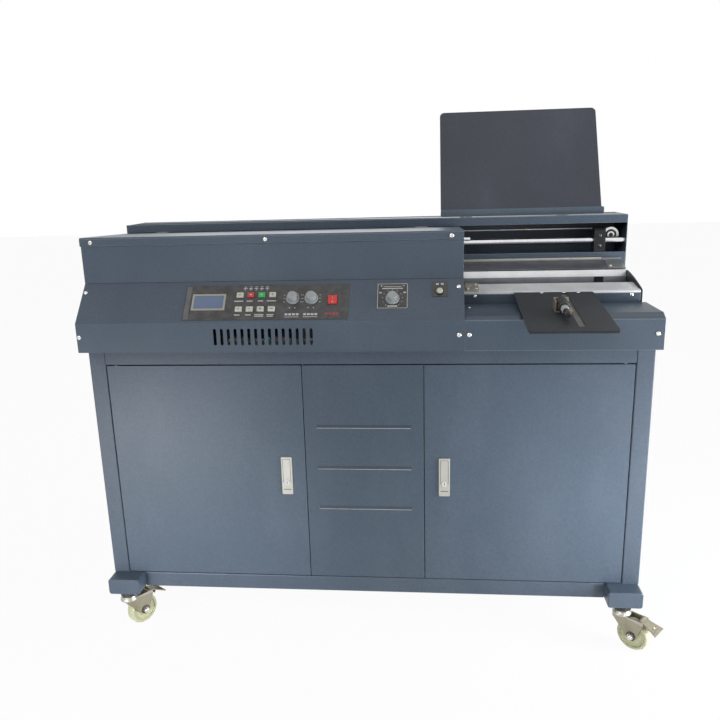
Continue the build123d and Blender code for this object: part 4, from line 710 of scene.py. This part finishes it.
# Each fold's rounded edge takes the lighter edge paint, partly a painted highlight along the ridge and fascia.
for name in ("left_console", "right_console"):
    dress(name, body_paint, fold, rim=worn_and_highlight_edge)
console_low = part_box("left_console")[0]
fascia_y = console_low.y
fascia_low = console_low.z
cabinet_front = fascia_y + 0.04
ridge_z = fascia_low + 0.068
slope_run, slope_rise = 0.073, 0.083
slope_angle = atan2(slope_rise, slope_run)


def tilt(angle):
    """A turn about X."""
    return Matrix.Rotation(angle, 4, "X")


on_slope = shift((0, fascia_y, ridge_z)) @ tilt(slope_angle)
slope_normal = on_slope.to_3x3() @ Vector((0, 0, 1))
screws("fascia_screw", [(x, fascia_y, fascia_low + 0.036) for x in (-0.6468, 0.2187, 0.241, 0.639)],
       (0, -1, 0), "stand")
screws("slope_screw", [on_slope @ Vector((x, s, 0)) for x, s in ((-0.6454, 0.084), (0.2196, 0.0879))],
       slope_normal, "stand")
screw("ledge_screw", (0.2449, cabinet_front + 0.0545, ridge_z + 0.011), (0, 0, 1), "stand", 0.95)

# Terminal strip: a row of moulded screw terminals on a rail behind the slots, with crimped sleeves of
# several colours standing in them. Only its upper edge shows through the lower half of the slots.
terminal_pitch = 0.0125
terminal_count = 17
terminal_base = Vector((-0.3, fascia_y + 0.018, fascia_low + 0.0017))
terminal_body = plastic("terminal_body", (0.3, 0.36, 0.3), 0.42, 0.08)
sleeve_finishes = [
    plastic(f"sleeve_{number}", colour, 0.35)
    for number, colour in enumerate(((0.05, 0.5, 0.55), (0.7, 0.3, 0.04), (0.55, 0.35, 0.42), (0.62, 0.6, 0.5)))
]
terminal = block("terminal", (terminal_pitch - 0.001, 0.02, 0.02), shift((0, 0, 0.01)))
pick(terminal, facing_along(2))
bpy.ops.mesh.inset(thickness=0.0022)
bpy.ops.transform.translate(value=(0, 0, -0.004))
pick(terminal, facing_along(1, -1))
bpy.ops.mesh.inset(thickness=0.0028)
bpy.ops.transform.translate(value=(0, 0.004, 0))
done(terminal)
rail = block("rail", (terminal_pitch * terminal_count + 0.01, 0.014, 0.003),
             shift((terminal_pitch * (terminal_count - 1) / 2, 0, 0.0015)))
row = [copy_to(terminal, f"terminal_{number}", shift((number * terminal_pitch, 0, 0.003)))
       for number in range(terminal_count)]
bpy.data.objects.remove(terminal)
strip = join("terminal_strip", [rail] + row)
fit(strip, terminal_body, "stand", shift(terminal_base))
sleeve = turned("sleeve", 12, 0.0017, 0.012, top=0.0026)
press(sleeve, facing_along(2), 0.0007, -0.002, 40)
for number in range(1, terminal_count):
    place = terminal_base + Vector((number * terminal_pitch - 0.002, -0.0025, 0.0195))
    lean = Matrix.Rotation(0.5 * sin(number * 2.1), 4, "Y") @ tilt(0.45)
    made = copy_to(sleeve, f"sleeve_{number}", shift(place) @ lean)
    fit(made, sleeve_finishes[number % len(sleeve_finishes)], "stand")
bpy.data.objects.remove(sleeve)

# Control overlay: a printed satin film on a thin plate, dark brown-grey, with plain print on it:
# bars stand where the machine has words. The dial plate and the start plate are printed alike.
print_white = plastic("print_white", (0.62, 0.62, 0.6), 0.45)
print_red = plastic("print_red", (0.4, 0.02, 0.018), 0.45)
glare_grey = plastic("glare_grey", (0.125, 0.118, 0.12), 0.34)
overlay_film = plastic("overlay_film", (0.036, 0.034, 0.036), 0.34, 0.05)
small_plate_film = plastic("small_plate_film", (0.022, 0.021, 0.022), 0.3, 0.05)
plate_thick = 0.0012
print_thick = 0.00012
key_pitch = 0.0252
key_columns = [-0.2747 + column * key_pitch for column in range(4)]
key_rows = (0.071, 0.0336)
dial_places = {"heat_dial": (-0.152, 0.061), "glue_dial": (-0.11, 0.061), "clamp_dial": (0.0727, 0.058)}
dress("control_plates", overlay_film, 0.0003,
      others=[(small_plate_film, lambda centre, normal: centre.x > 0.0)])
bar = cube("bar", (1, 1, 1))


def print_on(name, spots, lift, material, body="stand", matrix=on_slope):
    """Flat printed bars: each is its middle x and s, its width and height, on a face lifted off the plane."""
    made = []
    for number, (x, s, width, height) in enumerate(spots):
        shape = Matrix.Diagonal((width, height, print_thick, 1))
        made.append(copy_to(bar, f"bar_{number}", matrix @ shift((x, s, lift)) @ shape))
    return fit(join(name, made), material, body)


heading = [(-0.2645 + number * 0.0127, 0.0895 - (number % 2) * 0.0008, 0.0085, 0.0022) for number in range(5)]
heading += [(-0.2645 + number * 0.0127, 0.0935, 0.006, 0.0014) for number in range(5)]
heading += [(-0.2645 + number * 0.0127, 0.086, 0.0022, 0.003) for number in range(5)]
key_labels = [(x - 0.002, key_rows[0] - 0.0155, width, 0.0026)
              for x, width in zip(key_columns, (0.021, 0.014, 0.012, 0.021))]
key_labels += [(x - 0.002, key_rows[1] - 0.0145, width, 0.0026)
               for x, width in zip(key_columns, (0.013, 0.013, 0.021, 0.016))]
key_labels += [(x - 0.002, key_rows[1] - 0.0185, width, 0.0018)
               for x, width in zip(key_columns[2:], (0.02, 0.014))]
dial_marks = []
for x in (-0.152, -0.11):
    dial_marks += [(x + side * 0.0195, 0.061 + rise, 0.0042, 0.0013)
                   for side in (-1, 1) for rise in (-0.009, 0.0, 0.009)]
    dial_marks += [(x + offset, 0.0365, 0.0024, 0.0024) for offset in (-0.006, 0.006)]
    dial_marks += [(x - 0.0125 + 0.0084 * number, 0.0195, 0.0062, 0.005) for number in range(4)]
    dial_marks += [(x, 0.0128, 0.033, 0.0012)]
print_on("overlay_print", heading + key_labels + dial_marks, plate_thick, print_white)
print_on("rocker_print", [(-0.0735 + 0.0078 * number, 0.0205, 0.0058, 0.0055) for number in range(4)],
         plate_thick, print_red)
# A grey strip over the film's left end is a painted reflection of glare, not print.
print_on("overlay_glare_strip", [(-0.3955, 0.0528, 0.011, 0.088)], plate_thick, glare_grey)
plate_frame = [(0.0725, 0.0965, 0.066, 0.001), (0.0725, 0.0331, 0.066, 0.001),
               (0.0395, 0.0648, 0.001, 0.0635), (0.1055, 0.0648, 0.001, 0.0635)]
plate_marks = [(0.0725, 0.0895, 0.041, 0.0012), (0.0725, 0.0845, 0.046, 0.0026),
               (0.0725, 0.0382, 0.022, 0.0034), (0.0455, 0.0735, 0.0055, 0.0035),
               (0.0995, 0.0735, 0.0055, 0.0035), (0.0475, 0.0915, 0.003, 0.003),
               (0.0975, 0.0915, 0.003, 0.003)]
dots = [(0.0725 + 0.0225 * cos(radians(turn)), 0.058 + 0.0225 * sin(radians(turn)), 0.0017, 0.0017)
        for turn in range(-50, 231, 28)]
print_on("plate_print", plate_marks + dots, plate_thick, print_white)
start_marks = [(0.1725, 0.0945, 0.0065, 0.0045), (0.1835, 0.0945, 0.0065, 0.0045)]
print_on("start_print", start_marks, plate_thick, print_white)
print_on("plate_border", plate_frame, plate_thick, satin_nickel)

# Display: a glass window over a blue-grey liquid crystal, in a thin cream bezel pushed into the film.
# The crystal has a fine dot grid and is a little lighter in soft patches.
bezel_cream = plastic("bezel_cream", (0.42, 0.4, 0.34), 0.4, 0.05)
crystal_dots, crystal_in, crystal_out, place = surface_group("crystal_dots")
cells = crystal_dots.nodes.new("ShaderNodeTexChecker")
cells.inputs["Scale"].default_value = 1600
cells.inputs["Color1"].default_value = (1, 1, 1, 1)
cells.inputs["Color2"].default_value = (0, 0, 0, 1)
crystal_dots.links.new(place, cells.inputs["Vector"])
cloud = noise(crystal_dots, place, 16, 3)
lit = between(crystal_dots, cloud, 0.35, 0.7, 0.0, 0.35)
lit = blend_colours(crystal_dots, lit, crystal_in.outputs["Colour"], (0.17, 0.235, 0.37, 1))
dotted = between(crystal_dots, cells.outputs["Fac"], 0, 1, 0.0, 0.07)
lit = blend_colours(crystal_dots, dotted, lit, (0.03, 0.05, 0.1, 1))
give_out(crystal_dots, crystal_in, crystal_out, lit, 0.0, cells.outputs["Fac"])
display_glass = finish("display_glass", (0.09, 0.145, 0.27), 0.28, group=crystal_dots,
                       Coat_Weight=0.8, Coat_Roughness=0.06)
window_height = 0.0008
to_slope = on_slope.inverted()
dress("display", bezel_cream, 0.0,
      others=[(display_glass, lambda centre, normal: normal.dot(slope_normal) > 0.9
               and abs((to_slope @ centre).z - window_height) < 0.0002)])

# Keys: moulded caps in cream, red and green, rounded at the top, that sink into the film when pressed.
# Each carries a small dark sign made of plain bars.
key_cream = plastic("key_cream", (0.71, 0.69, 0.6), 0.36, 0.06)
key_red = plastic("key_red", (0.62, 0.03, 0.03), 0.34, 0.06)
key_green = plastic("key_green", (0.03, 0.5, 0.11), 0.34, 0.06)
print_dark = plastic("print_dark", (0.05, 0.05, 0.055), 0.45)
key_top = plate_thick + 0.0035
key_signs = [
    [(0, 0.0012, 0.006, 0.0009), (0, -0.0012, 0.006, 0.0009)],
    [(0, 0, 0.0045, 0.0036)],
    [(-0.001, 0, 0.003, 0.0036), (0.0016, 0, 0.0016, 0.0022)],
    [(0, 0.0014, 0.005, 0.0009), (0, -0.0014, 0.0016, 0.0024)],
    [(0, 0, 0.0048, 0.0009), (0, 0, 0.0009, 0.0048)],
    [(0, 0, 0.0048, 0.0009)],
    [(0, 0.0018, 0.0024, 0.0012), (0, -0.0008, 0.0046, 0.0026)],
    [(-0.002, 0, 0.002, 0.0034), (0.002, 0, 0.002, 0.0034)],
]
for number in range(8):
    name = f"button_{number + 1}"
    dress(name, {1: key_red, 2: key_green}.get(number, key_cream), 0.0005)
    x, s = key_columns[number % 4], key_rows[number // 4]
    sign = [(x + dx, s + ds, width, height) for dx, ds, width, height in key_signs[number]]
    print_on(f"key_sign_{number + 1}", sign, key_top, print_white if number in (1, 2) else print_dark, name)

# Dials: mid-grey moulded knobs with a skirt, a ribbed grip and a white pointer line.
# They push onto steel spindles; the right one sets the clamp.
dial_grey = plastic("dial_grey", (0.4, 0.42, 0.43), 0.36, 0.08)
dial_foot = plate_thick + 0.0003
skirt_height = 0.0035
dial_height = 0.016
for name, (x, s) in dial_places.items():
    dress(name, dial_grey, 0.0005)
    grip = ribbed(name + "_grip", 0.0111, 0.0102, dial_height - skirt_height - 0.0015, 16, 0.0007)
    fit(grip, dial_grey, name, on_slope @ shift((x, s, dial_foot + skirt_height)))
    print_on(name + "_pointer", [(x, s + 0.0048, 0.0011, 0.0088)], dial_foot + dial_height - 0.0009,
             print_white, name)
    print_on(name + "_tick", [(x, s + 0.0128, 0.0011, 0.0034)], dial_foot + skirt_height, print_white, name)

# Power rocker: a red moulded switch cap that tips about its middle, with a bar and a ring moulded in white.
# The red cap glows faintly: a painted glow, though the cap holds no lamp.
glowing_rocker_red = plastic("glowing_rocker_red", (0.62, 0.018, 0.016), 0.26, 0.04,
                     Emission_Color=(0.6, 0.02, 0.01, 1), Emission_Strength=0.12)
dress("power_rocker", glowing_rocker_red, 0.0004)
rocker_tilt, rocker_fall = radians(6), atan2(0.0015, 0.0103)
half_face, face_height = 0.0052, 0.00626
rocker_seat = on_slope @ shift((-0.0617, 0.0558, plate_thick - 0.003)) @ tilt(rocker_tilt)
upper_face = rocker_seat @ shift((0, half_face, face_height)) @ tilt(rocker_fall)
lower_face = rocker_seat @ shift((0, -half_face, face_height)) @ tilt(-rocker_fall)
print_on("rocker_bar", [(0, 0, 0.0009, 0.0044)], 0, print_white, "power_rocker", upper_face)
ring = begin("rocker_ring", bpy.ops.mesh.primitive_torus_add, major_radius=0.0019, minor_radius=0.0004,
             major_segments=28, minor_segments=6)
ring.scale.z = 0.3
done(ring, 60)
fit(ring, print_white, "power_rocker", lower_face)

# Start button: a cream cap inside a black moulded ring, pressed with a thumb.
start_cream = plastic("start_cream", (0.74, 0.69, 0.54), 0.3, 0.04)
dress("start_button", start_cream, 0.0004)

# Hood: a folded cover of 2 mm sheet, coated like the console, that lifts on hinges at its rear edge.
# Three screws hold a stiffener behind its front lip.
dress("hood", body_paint, 0.0014, rim=worn_and_highlight_edge)
hood_low, hood_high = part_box("hood")
screws("hood_screw", [(x, hood_low.y, hood_high.z - 0.011) for x in (-0.6264, -0.2144, 0.2042)],
       (0, -1, 0), "hood")

# Hinge pins: turned steel, zinc plated, in the doors, the hood and the document rest.
dress("hinge_pins", bright_zinc, 0.0002)

# Rear housing: a folded box and a lipped cover with end plates, coated like the console.
# The carriage hangs in the long window between them.
dress("rear_housing", body_paint, fold, rim=worn_and_highlight_edge)
housing_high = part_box("rear_housing")[1]
screws("housing_screw", [(x, housing_high.y, housing_high.z - 0.012) for x in (-0.45, -0.15, 0.15, 0.45)],
       (0, 1, 0), "stand", 0.9)

# Guide shaft: ground and hard-chromed steel, with a black painted block at each end.
# The right block stops the carriage.
ground_steel = metal("ground_steel", (0.82, 0.82, 0.84), 0.13, 1.0, 0.02, (14, 0.4, 0.4), (0.6, 0.6, 0.62))
block_paint = metal("block_paint", (0.006, 0.006, 0.007), 0.45, 0.0, 0.05, all_ways, (0.02, 0.02, 0.022),
                    Specular_IOR_Level=0.3)
shaft_y, shaft_z = 0.1616, 0.934
dress("guide_shaft", ground_steel, 0.0004,
      others=[(block_paint, lambda centre, normal: hypot(centre.y - shaft_y, centre.z - shaft_z) > 0.0083)])
screws("stop_block_screw", [(0.586, shaft_y - 0.016, shaft_z + rise) for rise in (-0.0125, 0.0125)],
       (0, -1, 0), "stand", 0.8, dark_zinc)

# Drive belt and its pulleys: a pale grey toothed belt runs over two turned aluminium pulleys.
# A brass clip joins the belt's ends on its upper run.
belt_grey = plastic("belt_grey", (0.78, 0.78, 0.76), 0.5, 0.15)
turned_aluminium = metal("turned_aluminium", (0.8, 0.8, 0.79), 0.25, 1.0, 0.05, fine_y, (0.55, 0.54, 0.5))
dress("drive_belt", belt_grey, 0.0002)
belt_low, belt_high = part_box("drive_belt")
# The pulleys' recessed front faces take a dark copy of the metal: painted shade in the recess.
pulley_shade_paint = metal("pulley_shade_paint", (0.06, 0.06, 0.062), 0.4, 0.6, 0.05, all_ways, (0.12, 0.12, 0.12))
for name in ("drive_pulley", "idler_pulley"):
    low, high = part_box(name)
    middle = (low + high) / 2
    dress(name, turned_aluminium, 0.0003,
          others=[(pulley_shade_paint, lambda centre, normal: normal.y < -0.9 and centre.y > low.y + 0.0008
                   and hypot(centre.x - middle.x, centre.z - middle.z) < 0.0145)])
belt_middle = (belt_low.y + belt_high.y) / 2
clip_steel = metal("clip_steel", (0.45, 0.4, 0.28), 0.4, 1.0, 0.05, all_ways, (0.2, 0.16, 0.09))
clip = block("belt_clip", (0.011, 0.0122, 0.0038), shift((0.4072, belt_middle, belt_high.z - 0.0006)), 0.0006)
press(clip, facing_along(2), 0.0018, -0.0006)
fit(clip, clip_steel, "stand")
tooth_pitch = 0.005
tooth = cube("tooth", (tooth_pitch * 0.5, 0.0098, 0.0009))
pick(tooth, facing_along(2, -1))
bpy.ops.transform.resize(value=(0.6, 1, 1))
done(tooth)
teeth = []
run_left, run_right = belt_low.x + 0.02, belt_high.x - 0.02
for number in range(int((run_right - run_left) / tooth_pitch)):
    x = run_left + number * tooth_pitch
    teeth.append(copy_to(tooth, f"tooth_{number}", shift((x, belt_middle, belt_high.z - 0.0019))))
fit(join("belt_teeth", teeth), belt_grey, "stand")
bpy.data.objects.remove(tooth)

# Clamp carriage and its jaw: milled aluminium plates on ground rods, with bronze bushes on the shaft.
# The front jaw closes on a book's spine and has a screwed spindle.
milled_aluminium = metal("milled_aluminium", (0.72, 0.73, 0.74), 0.3, 1.0, 0.06, fine_x, (0.42, 0.43, 0.43))
arm_left, arm_right = -0.04, 0.16
bush_reach, bush_radius = 0.0204, 0.0152
dress(
    "clamp_carriage", milled_aluminium, 0.0006,
    others=[
        (brass, lambda centre, normal: hypot(centre.y - shaft_y, centre.z - shaft_z) < bush_radius
         and bush_reach < min(abs(centre.x - arm_left), abs(centre.x - arm_right)) < bush_reach + 0.003),
        (ground_steel, lambda centre, normal: abs(normal.x) < 0.9 and -0.0525 < centre.y < 0.0835
         and abs(abs(centre.x - 0.06) - 0.153) < 0.0075 and 0.932 < centre.z < 0.948),
    ],
)
dress("clamp_jaw", milled_aluminium, 0.0006)

# Motors, cutter, tank and roller: the motors are cast and painted grey, the cutter is hardened steel,
# the tank is cast alloy and the roller is ground. They stand on the deck under the hood.
motor_paint = paint("motor_paint", (0.05, 0.055, 0.06), 0.42, 0.3)
tool_steel = metal("tool_steel", (0.45, 0.45, 0.46), 0.28, 1.0, 0.08, (9, 9, 9), (0.24, 0.22, 0.2))
cast_alloy = finish("cast_alloy", (0.4, 0.41, 0.42), 0.5, 1.0, galvanised, 0.12)
dress("drive_motors", motor_paint, 0.0008)
dress("milling_cutter", tool_steel, 0.0003)
dress("glue_tank", cast_alloy, 0.0008)
dress("glue_roller", ground_steel, 0.0003)
cutter_low, cutter_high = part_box("milling_cutter")
cutter_middle = (cutter_low + cutter_high) / 2
hub_nut = soften(turned("cutter_nut", 6, 0.0125, 0.008, -0.004), 0.0009)
fit(hub_nut, bright_zinc, "milling_cutter",
    shift((cutter_middle.x, cutter_middle.y, cutter_high.z + 0.0033)))
tank_low, tank_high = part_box("glue_tank")
deck_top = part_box("inner_panels")[1].z
spots = [(tank_low.x + (tank_high.x - tank_low.x) * x, tank_low.y + (tank_high.y - tank_low.y) * y, deck_top)
         for x, y in ((0.2, 0.2), (0.8, 0.2), (0.2, 0.8), (0.8, 0.8))]
screws("tank_screw", spots, (0, 0, 1), "stand", 1.1)

# Nipping station: a coated base of 3 mm sheet carries two extruded aluminium jaws. The front one slides
# on the base; the rear one is screwed down. A black cheek closes the end.
dress("nipping_base", body_paint, fold, rim=worn_and_highlight_edge)
# The rear jaw's front face takes a darker copy of the aluminium: painted shade on the face in the gap.
jaw_face_shade = metal("jaw_face_shade", (0.25, 0.27, 0.285), 0.36, 0.75, 0.06, fine_x, (0.12, 0.125, 0.13))
dress("rear_nip_jaw", milled_aluminium, 0.0008, others=[(jaw_face_shade, lambda centre, normal: normal.y < -0.995)])
# The front jaw's aluminium is a near-white, almost matt copy: a painted highlight for its brightly lit look.
lit_front_jaw_aluminium = metal("lit_front_jaw_aluminium", (0.96, 0.97, 0.98), 0.36, 0.05, 0.06, fine_x,
                            (0.6, 0.58, 0.54))
dress("front_nip_jaw", lit_front_jaw_aluminium, 0.0008)
dress("end_cheek", block_paint, 0.0006)
base_low, base_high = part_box("nipping_base")
jaw_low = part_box("front_nip_jaw")[0]
rear_low, rear_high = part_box("rear_nip_jaw")
screws("base_screw", [(x, base_low.y, base_high.z - 0.0045) for x in (0.2616, 0.6194)],
       (0, -1, 0), "stand", 0.88)
# A cast bracket, left rough, is screwed to the left end of the front jaw
jaw_rise = 0.009
jaw_depth = 0.069
jaw_slope = atan2(jaw_rise, jaw_depth)
bracket_x, bracket_back, bracket_lift = 0.2557, 0.036, 0.0118
bracket_middle = shift((bracket_x, jaw_low.y + bracket_back, jaw_low.z + bracket_lift)) @ tilt(jaw_slope)
bracket = block("jaw_bracket", (0.0325, 0.064, 0.005), bracket_middle, 0.0012, 3)
pick(bracket, lambda centre, normal: normal.z > 0.95 and abs(centre.x - bracket_x) < 0.01)
bpy.ops.mesh.subdivide(number_cuts=2)
press(bracket, lambda centre, normal: normal.z > 0.95 and abs(centre.x - bracket_x) < 0.004
      and abs(centre.y - jaw_low.y - bracket_back) < 0.02, 0.0012, -0.0014)
rough_cast = finish("rough_cast", (0.36, 0.34, 0.28), 0.55, 1.0, galvanised, 0.5, depth=0.0006)
fit(bracket, rough_cast, "front_nip_jaw")
bracket_top = jaw_low.z + bracket_lift + 0.0024
spots = [(bracket_x + dx, jaw_low.y + dy, bracket_top + (dy - bracket_back) * jaw_rise / jaw_depth)
         for dx, dy in ((-0.010, 0.016), (0.010, 0.016), (0.010, 0.05))]
screws("bracket_screw", spots, (0, -sin(jaw_slope), cos(jaw_slope)), "front_nip_jaw", 0.75)
# A black stop tab on the rear jaw's face
tab = block("jaw_tab", (0.023, 0.0034, 0.0153),
            shift((0.5735, rear_low.y + 0.0002, base_high.z + 0.0132)), 0.0005)
press(tab, facing_along(1, -1), 0.003, -0.0006)
fit(tab, block_paint, "stand")
rear_middle = (rear_low.y + rear_high.y) / 2 + 0.002
screws("rear_jaw_screw", [(x, rear_middle, rear_high.z) for x in (0.30, 0.44, 0.58)],
       (0, 0, 1), "stand", 0.8, dark_zinc)

# Rear rest plate: bare stainless sheet, bent along its foot and scuffed where books slide on it.
# A cream edge trim covers its upper edge, and a wedge of the same sheet ends it on the right, painted paler as a
# painted reflection.
rest_plate_steel = metal("rest_plate_steel", (0.27, 0.275, 0.3), 0.3, 0.8, 0.06, fine_x, (0.05, 0.05, 0.045))
dress("rear_rest_plate", rest_plate_steel, 0.0004)
plate_low, plate_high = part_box("rear_rest_plate")
trim_cream = plastic("trim_cream", (0.66, 0.62, 0.52), 0.4, 0.05)
trim = block("plate_trim", (0.352, 0.0034, 0.0034),
             shift((plate_low.x + 0.178, plate_high.y - 0.0018, plate_high.z - 0.0008)), 0.0008)
press(trim, facing_along(2, -1), 0.0008, -0.0006)
fit(trim, trim_cream, "stand")
plate_foot = Vector((0, rear_low.y + 0.006, base_high.z + 0.037 + 0.0015))
plate_bend = Vector((0, plate_high.y, base_high.z + 0.054))
plate_run = plate_bend - plate_foot
plate_slope = atan2(plate_run.z, plate_run.y)
on_plate = shift(plate_foot) @ tilt(plate_slope)
# The wedge is a paler copy of the plate's steel: a painted reflection at the plate's end.
wedge_reflection_steel = metal("wedge_reflection_steel", (0.42, 0.44, 0.43), 0.34, 0.9, 0.06, fine_y, (0.3, 0.31, 0.3))
wedge = block("plate_wedge", (0.036, plate_run.length - 0.002, 0.0016),
              on_plate @ shift((0.6212, plate_run.length / 2, 0.0026)), 0.0003)
pick(wedge, facing_along(0, -1))
bpy.ops.transform.translate(value=(-0.006, 0, 0))
done(wedge)
fit(wedge, wedge_reflection_steel, "stand")
plate_normal = on_plate.to_3x3() @ Vector((0, 0, 1))
screw("plate_screw", on_plate @ Vector((0.6049, 0.0135, 0.0032)), plate_normal, "stand", 0.85)

# Cover table: 2 mm sheet in a matt dark coat, tilted towards the operator, on two ribs.
# A printed ruler lies in its slot; three domed rivets hold its rear edge.
table_coat = paint("table_coat", (0.021, 0.0245, 0.0265), 0.55, 0.14, Specular_IOR_Level=0.3)
# The table's rounded edges take a lighter coat: a painted highlight along the edges.
table_edge_highlight = paint("table_edge_highlight", (0.1, 0.115, 0.12), 0.4, 0.1)
dress("cover_table", table_coat, 0.0005, rim=table_edge_highlight)
table_tilt = radians(8.4)
nip_front = cabinet_front + 0.108
on_table = shift((0, nip_front - 0.0003, base_high.z + 0.002)) @ tilt(table_tilt)
table_thick = 0.002
ruler_x, ruler_length, ruler_margin = 0.463, 0.232, 0.008
ruler_middle = -ruler_margin - ruler_length / 2
ruler_grey = metal("ruler_grey", (0.16, 0.155, 0.145), 0.42, 0.3, 0.05, fine_y, (0.3, 0.28, 0.24))
ruler = cube("ruler_strip", (0.0134, ruler_length - 0.0142, 0.0002))
press(ruler, facing_along(2), 0.0008)
fit(ruler, ruler_grey, "stand", on_table @ shift((ruler_x, ruler_middle, 0.0001)))
graduations = []
for number in range(42):
    reach = 0.0062 if number % 10 == 0 else 0.0045 if number % 5 == 0 else 0.0028
    graduations.append((ruler_x + 0.0066 - reach / 2, ruler_middle - 0.1025 + number * 0.005, reach, 0.0005))
print_on("ruler_marks", graduations, 0.0002, print_dark, matrix=on_table)
bpy.data.objects.remove(bar)
dome = begin("dome", bpy.ops.mesh.primitive_uv_sphere_add, segments=20, ring_count=10, radius=0.0042)
pick(dome, lambda centre, normal: centre.z < 0)
bpy.ops.mesh.delete(type="FACE")
bpy.ops.object.mode_set(mode="OBJECT")
dome.scale.z = 0.45
done(dome, 60)
pick(dome, lambda centre, normal: False)
bpy.ops.mesh.select_mode(type="EDGE")
bpy.ops.mesh.select_non_manifold()
bpy.ops.mesh.edge_face_add()
bpy.ops.object.mode_set(mode="OBJECT")
for index, x in enumerate((0.4143, 0.4644, 0.497)):
    rivet = copy_to(dome, f"table_rivet_{index + 1}", on_table @ shift((x, -0.0045, table_thick)))
    fit(rivet, bright_zinc, "stand")
bpy.data.objects.remove(dome)

# Side stop: a bent bracket in a beige zinc plate, locked by a screw with a black ribbed knob.
# The knob carries a white nylon ring and ends in a black tip.
beige_plate = metal("beige_plate", (0.6, 0.52, 0.4), 0.36, 0.7, 0.06, all_ways, (0.4, 0.33, 0.22))
dress("side_stop", beige_plate, 0.0004)
stop_x, stop_wall, screw_height = 0.438, -0.119, 0.0155
screw_place = on_table @ shift((stop_x, stop_wall - 0.0023, table_thick + screw_height))
to_screw = (screw_place @ tilt(pi / 2)).inverted()
knob_length, ring_end = 0.042, 0.064
ring_white = plastic("ring_white", (0.75, 0.75, 0.72), 0.3, 0.05)
dress("stop_screw", black_plastic, 0.0004,
      others=[(ring_white, lambda centre, normal:
               knob_length + 0.0005 < (to_screw @ centre).z < ring_end + 0.0002)])
knob_grip = ribbed("knob_grip", 0.0124, 0.0124, knob_length - 0.006, 20, 0.0008)
fit(knob_grip, black_plastic, "stop_screw", to_screw.inverted() @ shift((0, 0, 0.003)))
ring_grip = ribbed("ring_grip", 0.0076, 0.0076, ring_end - knob_length - 0.006, 16, 0.0006)
fit(ring_grip, ring_white, "stop_screw",
    to_screw.inverted() @ shift((0, 0, knob_length + 0.003)))

# Document rest: a 2.5 mm panel with rounded upper corners, in a plainer dark grey coat, leaning back
# from a folded strip in a lighter copy of the machine's coat, a painted light.
rest_coat = paint("rest_coat", (0.05, 0.053, 0.068), 0.5, 0.12, Specular_IOR_Level=0.35)
strip_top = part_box("document_rest")[0].z + 0.0178
lit_strip_paint = paint("lit_strip_paint", (0.09, 0.125, 0.165), 0.36, 0.14)
dress("document_rest", rest_coat, 0.0008, rim=worn_and_highlight_edge,
      others=[(lit_strip_paint, lambda centre, normal: centre.z < strip_top)])
